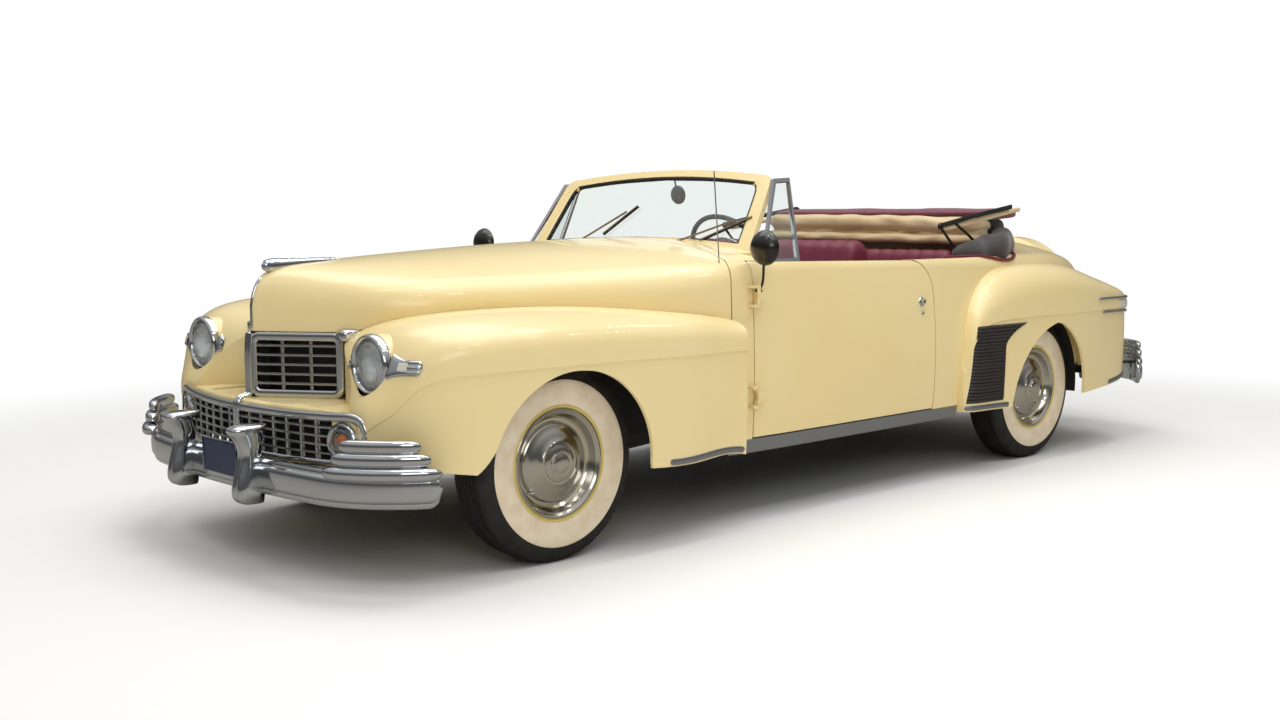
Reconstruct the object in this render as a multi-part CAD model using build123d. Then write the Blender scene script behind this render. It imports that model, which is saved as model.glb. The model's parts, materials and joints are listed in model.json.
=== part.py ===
from build123d import *
import math
import os

# A four-seat open touring car of the late 1940s, in millimetres. x runs forward from the front axle, y to the
# car's left and z up from the ground. The finished pieces are moved so that x is zero at half the length.

# Overall sizes
overall_length = 5540.0
front_overhang = 1010.0
wheelbase = 3175.0
front_track = 1499.0
rear_track = 1540.0

# Sheet and gaps
skin = 14.0
door_depth = 74.0
panel_gap = 6.0
soft_gap = 0.3
pin_play = 1.0
wheel_play = 0.6

# Wheels and steering
tyre_radius = 366.0
tyre_width = 190.0
tread_width = 136.0
tyre_wall = 15.0
bead_radius = 192.0
rim_width = 140.0
rim_flange_radius = 205.0
rim_well_radius = 166.0
rim_sheet = 5.0
hubcap_radius = 150.0
drum_radius = 145.0
spindle_radius = 20.0
kingpin_inset = 86.0
kingpin_radius = 11.0
arch_clearance = 50.0
steering_arm = 140.0
tie_rod_z = 300.0
tie_rod_radius = 12.0

# Body heights
sill_bottom_z = 290.0
sill_top_z = 346.0
floor_z = 404.0
floor_sheet = 14.0
belt_front_z = 1066.0
belt_rear_z = 1044.0
crease_z = 752.0
crease_blend = 60.0
crease_depth = 7.0

# Panel edges along the car
hood_rear_centre_x = -1050.0
hood_rear_side_x = -862.0
fender_seam_z = 845.0
door_front_x = -1003.0
door_rear_x = -2240.0
door_bottom_z = 352.0
door_corner_radius = 150.0
cockpit_front_x = -1215.0
cockpit_rear_x = -3085.0
cockpit_half_width = 779.0
cockpit_corner = 260.0
trunk_front_x = -3560.0
trunk_rear_x = -4190.0
trunk_half_width = 430.0

# Frame
rail_y = 400.0
rail_width = 60.0
rail_height = 100.0
rail_top_front = 440.0
tunnel_radius = 130.0
rear_floor_z = 560.0

# Nose
apron_centre_x = 811.0
apron_radius = 1958.0
apron_half_width = 615.0
shelf_z = 606.0
shelf_back_x = 480.0
lower_grille_bottom_z = 424.0
lower_grille_top_z = 572.0
lower_grille_half_width = 520.0
prow_x = 762.0
prow_corner_x = 560.0
prow_half_width = 308.0
upper_grille_bottom_z = shelf_z
upper_grille_top_z = 840.0
lamp_x = 632.0
lamp_y = 605.0
lamp_z = 757.0

# Windshield, in its leaning plane
screen_base_x = -1160.0
screen_base_z = 1100.0
screen_lean = 33.0
screen_height = 388.0
screen_base_half_width = 716.0
screen_top_half_width = 651.0
screen_rail = 34.0
screen_depth = 26.0
glass_thickness = 6.0

# Steering wheel
wheel_centre = (-1414.0, 380.0, 1052.0)
column_slope = 30.0
steering_wheel_radius = 225.0

# Bumpers
bumper_front_x = 905.0
bumper_rear_x = -4490.0
bumper_mid_z = 365.0
bumper_height = 130.0
bumper_centre_radius = 4500.0
bumper_straight_half = 560.0
bumper_corner_radius = 480.0
bumper_wrap = 66.0

front_axle_x = overall_length / 2 - front_overhang
rear_axle_x = -wheelbase
rear_tip_x = front_overhang - overall_length
front_wheel_y = front_track / 2
rear_wheel_y = rear_track / 2
hub_z = tyre_radius
kingpin_y = front_wheel_y - kingpin_inset
sides = {"left": 1, "right": -1}


def wire_of(place, start, steps):
    """Closed wire. place turns a pair into a point; a step is a pair for a line, or two pairs for an arc."""
    edges = []
    here = place(*start)
    for step in [*steps, start]:
        if isinstance(step[0], tuple):
            middle, end = place(*step[0]), place(*step[1])
            edges.append(Edge.make_three_point_arc(here, middle, end))
        else:
            end = place(*step)
            edges.append(Edge.make_line(here, end))
        here = end
    return Wire(edges)


def cross_section(x, start, steps):
    """Closed wire across the car at x, from (y, z) pairs."""
    return wire_of(lambda y, z: Vector(x, y, z), start, steps)


def side_profile(start, steps, y_low, y_high):
    """Solid of an outline of (x, z) pairs seen from the side, from y_low to y_high."""
    face = Face(wire_of(lambda x, z: Vector(x, y_low, z), start, steps))
    return extrude(face, amount=y_high - y_low, dir=(0, 1, 0))


def plan_profile(start, steps, z_low, z_high):
    """Solid of an outline of (x, y) pairs seen from above, from z_low to z_high."""
    face = Face(wire_of(lambda x, y: Vector(x, y, z_low), start, steps))
    return extrude(face, amount=z_high - z_low, dir=(0, 0, 1))


def front_profile(start, steps, x_low, x_high):
    """Solid of an outline of (y, z) pairs seen from the front, from x_low to x_high."""
    face = Face(wire_of(lambda y, z: Vector(x_low, y, z), start, steps))
    return extrude(face, amount=x_high - x_low, dir=(1, 0, 0))


def turned_about_y(start, steps, centre, turn=360):
    """Solid turned about the y axis through centre, from (radius, y) pairs."""
    face = Face(wire_of(lambda r, y: Vector(r, y, 0), start, steps))
    if face.normal_at().Z < 0:
        face = -face
    return Pos(*centre) * revolve(face, Axis.Y, turn)


def box(x_low, x_high, y_low, y_high, z_low, z_high):
    size = (x_high - x_low, y_high - y_low, z_high - z_low)
    centre = ((x_high + x_low) / 2, (y_high + y_low) / 2, (z_high + z_low) / 2)
    return Pos(*centre) * Box(*size)


def rod(start, end, radius):
    """Round bar between two points."""
    start, end = Vector(*start), Vector(*end)
    plane = Plane(origin=start, z_dir=end - start)
    return Solid.make_cylinder(radius, (end - start).length, plane)


def beam(start, end, width, height):
    """Square bar between two points, its width level."""
    start, end = Vector(*start), Vector(*end)
    along = (end - start).normalized()
    level = Vector(0, 0, 1).cross(along).normalized()
    plane = Plane(origin=start, x_dir=level, z_dir=along)
    return extrude(plane * Rectangle(width, height), amount=(end - start).length)


def other_side(shape):
    return mirror(shape, about=Plane.XZ)


def pair(shape):
    """The piece and its mirror image on the other side, as separate solids."""
    return Compound([*shape.solids(), *other_side(shape).solids()])


def crown_arcs(centre_y, crown_z, side_y, side_z):
    """Basket-handle quarter: two tangent arcs from a level crown to an upright side, as two steps."""
    across, down = abs(side_y - centre_y), crown_z - side_z
    turn = 1 if side_y > centre_y else -1
    span = math.hypot(across, down)
    spare = across + down - span
    broad, tight = span * (span - down) / spare, span * (span - across) / spare
    tilt = math.atan2(down, across)
    points = [(broad * math.sin(a), broad * (1 - math.cos(a))) for a in (tilt / 2, tilt)]
    late = (tilt + math.pi / 2) / 2
    points.append((across - tight * (1 - math.sin(late)), down - tight * math.cos(late)))
    points.append((across, down))
    placed = [(centre_y + turn * p, crown_z - q) for p, q in points]
    return [(placed[0], placed[1]), (placed[2], placed[3])]


# Body hull: every panel between the nose and the tail is cut from this one form.
# x, half width at the shoulder, half width half-way down, half width at the sill, crown height, shoulder height
HULL = [
    (752.0, 12.0, 13.0, 12.0, 935.0, 880.0),
    (728.0, 50.0, 51.0, 50.0, 1012.0, 895.0),
    (690.0, 110.0, 111.0, 110.0, 1050.0, 905.0),
    (611.0, 232.0, 233.0, 232.0, 1078.0, 912.0),
    (480.0, 395.0, 396.0, 395.0, 1090.0, 918.0),
    (300.0, 512.0, 513.0, 512.0, 1102.0, 922.0),
    (0.0, 596.0, 597.0, 596.0, 1120.0, 925.0),
    (-400.0, 704.0, 706.0, 704.0, 1140.0, 930.0),
    (-800.0, 846.0, 852.0, 846.0, 1152.0, 968.0),
    (-1010.0, 866.0, 880.0, 868.0, 1156.0, 1000.0),
    (-1600.0, 866.0, 894.0, 876.0, 1140.0, 1008.0),
    (-2240.0, 862.0, 896.0, 876.0, 1124.0, 1000.0),
    (-2700.0, 846.0, 880.0, 862.0, 1118.0, 985.0),
    (-3100.0, 812.0, 840.0, 822.0, 1120.0, 965.0),
    (-3500.0, 752.0, 772.0, 752.0, 1126.0, 940.0),
    (-3850.0, 668.0, 680.0, 662.0, 1118.0, 900.0),
    (-4080.0, 590.0, 598.0, 586.0, 1078.0, 850.0),
    (-4190.0, 530.0, 536.0, 526.0, 1010.0, 780.0),
    (-4240.0, 480.0, 486.0, 478.0, 900.0, 700.0),
]
hull_cowl_row = 8


def hull_section(x, belt_y, middle_y, sill_y, crown_z, shoulder_z, inset, bottom_z):
    left = crown_arcs(0, crown_z - inset, belt_y - inset, shoulder_z)
    middle_z = (shoulder_z + bottom_z) / 2
    low_y = sill_y - inset
    right = [tuple((-p[0], p[1]) for p in step) for step in left]
    steps = [
        ((middle_y - inset, middle_z), (belt_y - inset, shoulder_z)),
        (left[1][0], left[0][1]),
        (left[0][0], (0, crown_z - inset)),
        right[0],
        right[1],
        ((inset - middle_y, middle_z), (-low_y, bottom_z)),
    ]
    return cross_section(x, (low_y, bottom_z), steps)


def hull(inset, bottom_z, rows, tail_inset=0.0):
    """Hull loft moved in by inset over some rows of the table; its last rows also move forward."""
    sections = []
    for i, (x, *sizes) in enumerate(rows):
        forward = tail_inset * max(0, i - len(rows) + 4) / 3
        sections.append(hull_section(x + forward, *sizes, inset, bottom_z))
    return Solid.make_loft(sections)


def fender_section(x, inner_y, valley_z, crown_y, crown_z, side_y, shoulder_z, low_y, bottom_z,
    inset, reach):
    """Fender section with a small overhang at the crease; reach carries a cutter below the lower edge."""
    top_z = crown_z - inset
    outer = crown_arcs(crown_y, top_z, side_y - inset, shoulder_z)
    under = shoulder_z - 25
    ledge_z = (crease_z + under - math.hypot(crease_z - under, crease_blend)) / 2
    valley = (inner_y + inset, valley_z - inset)
    middle = ((valley[0] + crown_y) / 2, top_z - (top_z - valley[1]) * 0.3)
    low = (low_y - inset, bottom_z - reach)
    ledge_y = side_y - inset - crease_depth
    belly = ((low[0] + ledge_y) / 2 + 3, (low[1] + ledge_z) / 2)
    steps = [
        valley,
        (middle, (crown_y, top_z)),
        outer[0],
        outer[1],
        (side_y - inset, ledge_z + crease_depth),
        (ledge_y, ledge_z),
        (belly, low),
    ]
    return cross_section(x, (inner_y + inset, bottom_z - reach), steps)


def fender(rows, inset=0.0, reach=0.0, nose_inset=0.0, tail_inset=0.0):
    """Fender loft over a table; an inner one starts nose_inset and ends tail_inset further in."""
    sections = []
    last = len(rows) - 1
    for i, (x, *sizes) in enumerate(rows):
        shift = -nose_inset * max(0, 2 - i) / 2 + tail_inset * max(0, i - last + 2) / 2
        sections.append(fender_section(x + shift, *sizes, inset, reach))
    return Solid.make_loft(sections)


# x, inner edge, seam height, crown across, crown height, side, shoulder height, foot across, foot height
FRONT_FENDER = [
    (708.0, 590.0, 590.0, 632.0, 606.0, 674.0, 560.0, 668.0, 450.0),
    (676.0, 530.0, 650.0, 630.0, 680.0, 736.0, 610.0, 728.0, 430.0),
    (628.0, 440.0, 745.0, 625.0, 785.0, 800.0, 680.0, 790.0, 420.0),
    (575.0, 340.0, 810.0, 630.0, 862.0, 856.0, 745.0, 846.0, 410.0),
    (500.0, 320.0, 850.0, 645.0, 900.0, 910.0, 780.0, 900.0, 400.0),
    (400.0, 400.0, 885.0, 670.0, 918.0, 946.0, 792.0, 936.0, 385.0),
    (240.0, 480.0, 908.0, 700.0, 927.0, 974.0, 800.0, 964.0, 365.0),
    (0.0, 540.0, 914.0, 722.0, 928.0, 984.0, 800.0, 974.0, 350.0),
    (-300.0, 620.0, 900.0, 770.0, 912.0, 985.0, 792.0, 973.0, 326.0),
    (-600.0, 720.0, 866.0, 826.0, 882.0, 980.0, 780.0, 967.0, 315.0),
    (-868.0, 790.0, 826.0, 866.0, 842.0, 966.0, 768.0, 954.0, 308.0),
]
REAR_FENDER = [
    (-2452.0, 800.0, 520.0, 850.0, 540.0, 915.0, 480.0, 914.0, 313.0),
    (-2478.0, 800.0, 650.0, 850.0, 676.0, 938.0, 600.0, 934.0, 313.0),
    (-2526.0, 795.0, 765.0, 848.0, 800.0, 955.0, 715.0, 950.0, 313.0),
    (-2640.0, 785.0, 880.0, 845.0, 916.0, 967.0, 790.0, 960.0, 313.0),
    (-2868.0, 765.0, 962.0, 842.0, 990.0, 978.0, 830.0, 970.0, 305.0),
    (-3180.0, 735.0, 985.0, 836.0, 1004.0, 986.0, 850.0, 976.0, 300.0),
    (-3480.0, 690.0, 958.0, 805.0, 982.0, 978.0, 832.0, 966.0, 316.0),
    (-3740.0, 620.0, 900.0, 760.0, 928.0, 954.0, 818.0, 942.0, 326.0),
    (-3920.0, 580.0, 850.0, 738.0, 886.0, 930.0, 802.0, 918.0, 336.0),
    (-4030.0, 555.0, 808.0, 716.0, 850.0, 904.0, 782.0, 894.0, 352.0),
    (-4092.0, 545.0, 766.0, 696.0, 812.0, 868.0, 752.0, 860.0, 376.0),
    (-4122.0, 540.0, 716.0, 676.0, 756.0, 806.0, 700.0, 800.0, 424.0),
]


# Panels cut from the hull

def hull_shell(low_x, high_x, inner):
    """Wall of the hull between two stations, down to an inner form."""
    return (hull_outer & box(low_x, high_x, -1000, 1000, 0, 1400)) - inner


def behind_hood(gap):
    """All that lies behind the hood's curved rear edge."""
    side_x, centre_x = hood_rear_side_x - gap, hood_rear_centre_x - gap
    steps = [((centre_x, 0), (side_x, -900)), (-5000, -900), (-5000, 900)]
    return plan_profile((side_x, 900), steps, 0, 1500)


def hood_side(gap):
    """Side view of the hood above its seam with the fenders."""
    steps = [
        (560, upper_grille_top_z + panel_gap - gap),
        ((330, 890 - gap), (0, 908 - gap)),
        ((-450, 884 - gap), (hood_rear_side_x - 40, fender_seam_z - gap - 6)),
        (-1300, fender_seam_z - gap - 6),
        (-1300, 1400),
        (900, 1400),
    ]
    return side_profile((900, upper_grille_top_z + panel_gap - gap), steps, -1000, 1000)


def door_outline(grow, y_low, y_high, open_top=False):
    """Door seen from the side, with its round upper rear corner."""
    front, rear = door_front_x + grow, door_rear_x - grow
    radius = door_corner_radius + grow
    corner_x = rear + radius
    bottom, top_front, top_rear = door_bottom_z - grow, belt_front_z + grow, belt_rear_z + grow
    reach = radius * math.sqrt(0.5)
    middle = (corner_x - reach, top_rear - radius + reach)
    steps = [(front, top_front), (corner_x, top_rear), (middle, (rear, top_rear - radius)), (rear, bottom)]
    solid = side_profile((front, bottom), steps, y_low, y_high)
    if open_top:
        solid += box(corner_x, front, y_low, y_high, top_rear - panel_gap, 1400)
    return solid


def cockpit_cut():
    """The open top of the cabin, with round rear corners."""
    half, corner = cockpit_half_width, cockpit_corner
    rear_x = cockpit_rear_x
    reach = corner * math.sqrt(0.5)
    steps = [
        (rear_x + corner, half),
        ((rear_x + corner - reach, half - corner + reach), (rear_x, half - corner)),
        (rear_x, corner - half),
        ((rear_x + corner - reach, corner - half - reach), (rear_x + corner, -half)),
        (cockpit_front_x, -half),
    ]
    return plan_profile((cockpit_front_x, half), steps, floor_z, 1400)


def belt_cut():
    """All above the belt line beside and behind the cabin."""
    slope = (belt_front_z - belt_rear_z) / (door_front_x - door_rear_x)
    front_z = belt_rear_z + slope * (cockpit_front_x - door_rear_x)
    steps = [(door_rear_x, belt_rear_z), (cockpit_rear_x + 60, belt_rear_z),
        (cockpit_rear_x - 40, 1400), (cockpit_front_x, 1400)]
    return side_profile((cockpit_front_x, front_z), steps, -1000, 1000)


def wheel_space(x, radius, y_low, y_high):
    """Cylinder across the car around a wheel's centre."""
    return rod((x, y_low, hub_z), (x, y_high, hub_z), radius)


hull_outer = hull(0, sill_bottom_z, HULL)
hull_skin_inner = hull(skin, sill_bottom_z - 40, HULL[2:], skin)
hull_room = hull(door_depth, sill_bottom_z - 60, HULL[hull_cowl_row:-2])
hull_clear = hull(-panel_gap, 200, HULL)

cabin_shell = hull_shell(-3110, -800, hull_room)
tail_shell = hull_shell(-4400, -3110, hull_skin_inner)

hood = (hull_outer - hull_skin_inner - behind_hood(0)) & hood_side(0)

firewall_x = -893.0
firewall_sheet = 12.0
cowl = (cabin_shell & box(cockpit_front_x, -800, -1000, 1000, sill_top_z, 1400)) - hood_side(panel_gap)
cowl_top = (cabin_shell & behind_hood(panel_gap)) & box(cockpit_front_x, 0, -1000, 1000, sill_top_z, 1400)
cowl = cowl + cowl_top
for turn in sides.values():
    y_low, y_high = sorted((turn * cockpit_half_width, turn * 1000))
    cowl -= door_outline(panel_gap, y_low, y_high)
firewall = hull_room & box(firewall_x - firewall_sheet, firewall_x, -1000, 1000, floor_z, 1090)
firewall -= rod((firewall_x + 20, 0, floor_z), (firewall_x - 40, 0, floor_z), tunnel_radius)
cowl = cowl + firewall
for turn in sides.values():
    y_low, y_high = sorted((turn * 738, turn * 1000))
    cowl -= box(cockpit_front_x - 40, -1062, y_low, y_high, 1066, 1300)

liner_radius = tyre_radius + arch_clearance + 8
liner_y = 624.0
rear_body = (cabin_shell & box(-3110, cockpit_front_x, -1000, 1000, sill_top_z, 1400)) + tail_shell
rear_body -= side_profile((-2452, 200), [(-2452, sill_top_z), (-3400, sill_top_z), (-4300, 436),
    (-4300, 200)], -1000, 1000)
rear_body -= cockpit_cut()
rear_body -= belt_cut()
for turn in sides.values():
    y_low, y_high = sorted((turn * cockpit_half_width, turn * 1000))
    rear_body -= door_outline(panel_gap, y_low, y_high, open_top=True)
    y_low, y_high = sorted((turn * 624, turn * 1000))
    rear_body -= wheel_space(rear_axle_x, liner_radius, y_low, y_high)
rear_body = rear_body - box(door_rear_x + 200, cockpit_front_x + 10, -1000, 1000, 0, 1400)


def trunk_outline(grow):
    half, corner = trunk_half_width + grow, 90
    front, rear = trunk_front_x + grow, trunk_rear_x - grow
    reach = corner * (1 - math.sqrt(0.5))
    steps = [
        ((front - reach, half - reach), (front - corner, half)),
        (rear + corner, half),
        ((rear + reach, half - reach), (rear, half - corner)),
        (rear, corner - half),
        ((rear + reach, reach - half), (rear + corner, -half)),
        (front - corner, -half),
        ((front - reach, reach - half), (front, corner - half)),
    ]
    return plan_profile((front, half - corner), steps, 860, 1400)


trunk_lid = tail_shell & trunk_outline(0)
rear_body -= trunk_outline(panel_gap)

hinge_y = 902.0
hinge_x = door_front_x + panel_gap / 2
hinge_heights = (930.0, 520.0)
hinge_pin_radius = 4.0
barrel_radius = 8.0
barrel_half = 32.0


def door():
    """Left door with two outside hinge barrels, its rear edge cut back inside so that it swings clear."""
    solid = (cabin_shell & door_outline(0, cockpit_half_width + panel_gap, 1000)) - belt_cut()
    back_cut = plan_profile((door_rear_x, 892),
        [(door_rear_x + 12, 780), (door_rear_x - 60, 780), (door_rear_x - 60, 892)], 300, 1100)
    solid -= back_cut
    for z in hinge_heights:
        solid += rod((hinge_x, hinge_y, z - barrel_half), (hinge_x, hinge_y, z + barrel_half),
            barrel_radius)
        solid += box(hinge_x - 52, hinge_x - 4, 862, hinge_y + 4, z - 16, z + 16)
        solid -= rod((hinge_x, hinge_y, z - 60), (hinge_x, hinge_y, z + 60), hinge_pin_radius + 0.4)
    return solid


def hinge_lugs():
    """Left door's hinge pins, each held by a lug above and a lug below the barrel."""
    lugs = []
    for z in hinge_heights:
        reach = barrel_half + 12
        lug = rod((hinge_x, hinge_y, z - reach), (hinge_x, hinge_y, z + reach), hinge_pin_radius)
        for low in (z - barrel_half - 12, z + barrel_half + 1):
            lug += rod((hinge_x, hinge_y, low), (hinge_x, hinge_y, low + 11), barrel_radius)
            lug += box(hinge_x + 1, hinge_x + 34, 856, hinge_y + 4, low, low + 11)
        lugs.append(lug)
    return lugs


door_left = door()
for lug in hinge_lugs():
    cowl = cowl + lug + other_side(lug)

sills = hull_outer & box(-2452, -868, 770, 1000, sill_bottom_z, sill_top_z)

# Fenders

def shelf_slope(gap):
    """All above the nose shelf where it falls away towards the left fender."""
    start = (330, shelf_z + 1 + gap)
    return front_profile(start, [((500, shelf_z - 11 + gap), (640, shelf_z - 62 + gap)), (640, 760),
        (330, 760)], 300, 900)


fender_hull_cut = hull_outer + (hull_clear & box(-800, 900, -1000, 1000, 200, 1500))
nose_block = box(400, 900, 0, apron_half_width, 200, shelf_z) - shelf_slope(soft_gap)
front_arch = side_profile(
    (-346, 200),
    [(-330, 353), ((-242, 600), (-6, 714)), ((238, 652), (366, 480)), ((430, 400), (556, 340)), (600, 200)],
    620,
    1100,
)
rear_arch = side_profile(
    (-2776, 200),
    [(-2800, 318), ((-2896, 530), (-3200, 705)), ((-3420, 570), (-3486, 342)), (-3500, 200)],
    820,
    1100,
)


def lamp_rod(radius, x_low, x_high):
    return rod((x_low, lamp_y, lamp_z), (x_high, lamp_y, lamp_z), radius)


bezel_radius = 104.0
front_fender = fender(FRONT_FENDER) - fender(FRONT_FENDER, skin, 60, skin, -30)
front_fender = front_fender - fender_hull_cut - nose_block - front_arch - lamp_rod(bezel_radius + soft_gap, 540, 800)
rear_fender_outer = fender(REAR_FENDER)
rear_fender = rear_fender_outer - fender(REAR_FENDER, skin, 60, skin, skin)
rear_fender = rear_fender - hull_outer - rear_arch
gravel_side = side_profile((-2492, 735), [(-2900, 716), (-2800, 610), (-2770, 330), (-2492, 345)],
    600, 1100)
gravel_shield = ((fender(REAR_FENDER, -4.0) - rear_fender_outer) & gravel_side) - hull_outer - rear_arch


# Nose

pivot_x = apron_centre_x - apron_radius


def nose_band(inner_radius, outer_radius, half_width, z_low, z_high):
    """Part of a ring about the nose's upright axis, as wide as half_width each side at the apron's face."""
    reach = half_width / apron_radius

    def at(radius, angle):
        return (pivot_x + radius * math.cos(angle), radius * math.sin(angle))

    steps = [
        (at(outer_radius, 0), at(outer_radius, reach)),
        at(inner_radius, reach),
        (at(inner_radius, 0), at(inner_radius, -reach)),
    ]
    return plan_profile(at(outer_radius, -reach), steps, z_low, z_high)


def around_nose(shape, offset):
    """The shape turned about the nose's axis by a distance along the apron's face."""
    turn = math.degrees(offset / apron_radius)
    return Pos(pivot_x, 0, 0) * Rot(0, 0, turn) * Pos(-pivot_x, 0, 0) * shape


apron_sheet = 14.0
apron_bottom_z = 330.0
edge_y = apron_half_width + 60
apron = nose_band(apron_radius - apron_sheet, apron_radius, edge_y, apron_bottom_z, shelf_z)
shelf_inner = shelf_back_x - pivot_x
apron += nose_band(shelf_inner, apron_radius, edge_y, shelf_z - 10, shelf_z)
grille_hole = (lower_grille_half_width, lower_grille_bottom_z, lower_grille_top_z)
apron -= nose_band(apron_radius - 60, apron_radius + 40, *grille_hole)
apron &= box(0, 900, -apron_half_width, apron_half_width, 0, shelf_z)
edges = apron.edges().filter_by(GeomType.CIRCLE).filter_by_position(Axis.Z, shelf_z - 0.1, shelf_z + 0.1)
outer_edge = [e for e in edges if abs(e.radius - apron_radius) < 0.1]
apron = apron.fillet(9.0, outer_edge)
apron -= shelf_slope(0)
apron -= other_side(shelf_slope(0))
parking_lamp_y = 568.0
parking_lamp_z = 498.0
parking_lamp_radius = 36.0
parking_hole = around_nose(rod((760, 0, parking_lamp_z), (860, 0, parking_lamp_z),
    parking_lamp_radius), parking_lamp_y)
apron = apron - parking_hole - other_side(parking_hole)
for turn in sides.values():
    y_low, y_high = sorted((turn * 306, turn * 374))
    apron -= box(740, 860, y_low, y_high, 348, 370)

lower_bar = 9.0
lower_depth = 44.0
lower_columns = 14
lower_rows = 5
frame_width = 14.0
frame_back = apron_radius - lower_depth
lower_grille = nose_band(frame_back, apron_radius + 6, *grille_hole)
inner_half = lower_grille_half_width - frame_width
inner_low, inner_high = lower_grille_bottom_z + frame_width, lower_grille_top_z - frame_width
lower_grille -= nose_band(frame_back - 5, apron_radius + 20, inner_half, inner_low, inner_high)
row_step = (inner_high - inner_low) / lower_rows
for row in range(1, lower_rows):
    z = inner_low + row * row_step
    lower_grille += nose_band(frame_back, apron_radius, inner_half + 2, z - lower_bar / 2,
        z + lower_bar / 2)
column_step = 2 * inner_half / lower_columns
for column in range(1, lower_columns):
    plate = box(pivot_x + frame_back + 3, apron_centre_x + 2, -lower_bar / 2, lower_bar / 2,
        inner_low - 2, inner_high + 2)
    lower_grille += around_nose(plate, -inner_half + column * column_step)

prow_length = math.hypot(prow_x - prow_corner_x, prow_half_width)
prow_turn = math.degrees(math.atan2(prow_x - prow_corner_x, prow_half_width))
prow_depth = 26.0
prow_bars = 5
prow_posts = 2


def prow_panel():
    """Left half of the upper grille, drawn flat and then turned to the prow's slope."""
    low, high = upper_grille_bottom_z, upper_grille_top_z
    edge = 18.0
    bar = 8.0
    panel = box(-prow_depth, 0, 0, prow_length, low, low + edge)
    panel += box(-prow_depth, 0, 0, prow_length, high - edge, high)
    panel += box(-prow_depth, 0, 0, edge, low, high)
    panel += box(-prow_depth, 0, prow_length - edge, prow_length, low, high)
    for i in range(1, prow_bars + 1):
        z = low + edge + (high - low - 2 * edge) * i / (prow_bars + 1)
        panel += box(-prow_depth, -3, edge - 2, prow_length - edge + 2, z - bar / 2, z + bar / 2)
    for i in range(1, prow_posts + 1):
        y = edge + (prow_length - 2 * edge) * i / (prow_posts + 1)
        panel += box(-prow_depth, -5, y - bar / 2, y + bar / 2, low + edge - 2, high - edge + 2)
    return Pos(prow_x, 0, 0) * Rot(0, 0, prow_turn) * panel


left_prow = prow_panel() & box(0, 900, 0, 400, 0, 900)
upper_grille = left_prow + other_side(left_prow)

radiator = box(388, 446, -270, 270, 440, 836)
radiator += box(404, 430, -428, 428, rail_top_front + soft_gap, rail_top_front + 12)

# Lamps

bezel = turned_about_y((88, 0), [(92, 10), ((100, 8), (bezel_radius, 0)), (bezel_radius, -70), (60, -100),
                                 (0, -100), (0, -92), (56, -92), (96, -66), (96, -8), (88, -8)], (0, 0, 0))
bezel = Pos(lamp_x + 12, lamp_y, lamp_z) * Rot(0, 0, -90) * bezel
lens = turned_about_y((0, 22), [(5, 22), ((52, 16), (87.7, -2)), (87.7, -6), ((52, 11), (5, 17)),
    (0, 17)], (0, 0, 0))
lens = Pos(lamp_x + 12, lamp_y, lamp_z) * Rot(0, 0, -90) * lens
parking_radius = parking_lamp_radius - soft_gap
parking = around_nose(rod((apron_centre_x - 30, 0, parking_lamp_z),
    (apron_centre_x + 6, 0, parking_lamp_z), parking_radius), parking_lamp_y)
lamp_lenses = pair(lens).solids() + pair(parking).solids()

tail_lamp_z = 690.0
tail_lamp = rod((-4150, 760, tail_lamp_z), (-3990, 760, tail_lamp_z), 34) - rear_fender_outer - hull_outer
tail_lamp = max(tail_lamp.solids(), key=lambda s: -s.center().X)

# Bumpers

def bumper_path(front, sign, depth, half_turn):
    """Centre line of a wrapped bumper seen from above: one wide arc and a tight arc at each end."""
    start = math.asin(bumper_straight_half / bumper_centre_radius)
    end = math.radians(half_turn)
    centre_radius, corner = bumper_centre_radius - depth, bumper_corner_radius - depth
    hub_y = (bumper_centre_radius - bumper_corner_radius) * math.sin(start)
    hub_back = bumper_centre_radius - (bumper_centre_radius - bumper_corner_radius) * math.cos(start)

    def corner_point(angle):
        return (front - sign * (hub_back - corner * math.cos(angle)), hub_y + corner * math.sin(angle))

    middle = (front - sign * depth, 0)
    return middle, corner_point(start), corner_point((start + end) / 2), corner_point(end)


def bumper_bar(front, sign, z_low, z_high, outer_depth, inner_depth, half_turn=bumper_wrap):
    """Flat-faced bar between two depths behind the bumper's face."""
    middle, near, bend, tip = bumper_path(front, sign, outer_depth, half_turn)
    back_middle, back_near, back_bend, back_tip = bumper_path(front, sign, inner_depth, half_turn)

    def left(point):
        return (point[0], -point[1])

    steps = [
        (left(bend), left(near)),
        (middle, near),
        (bend, tip),
        back_tip,
        (back_bend, back_near),
        (back_middle, left(back_near)),
        (left(back_bend), left(back_tip)),
    ]
    return plan_profile(left(tip), steps, z_low, z_high)


# Stacked corner guard: rise over the bar, depth behind its face, inner end, wrap
CORNER_TIERS = [
    (15.0, -34.0, 650.0, 66.0),
    (58.0, -20.0, 680.0, 62.0),
    (101.0, -6.0, 700.0, 57.0),
]


def guard(x, sign, reach, y, z_low, z_high, width):
    """Upright bullet that stands over the bar."""
    nose = x + sign * (reach - 4)
    steps = [
        (x - sign * 36, z_high),
        ((x + sign * reach * 0.6, z_high + 4), (nose - sign * 4, z_high - 40)),
        ((nose + sign * 4, (z_low + z_high) / 2), (nose - sign * 18, z_low + 10)),
        (x - sign * 36, z_low),
    ]
    body = side_profile((x - sign * 36, z_low), steps[:-1], y - width / 2, y + width / 2)
    return body


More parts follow.
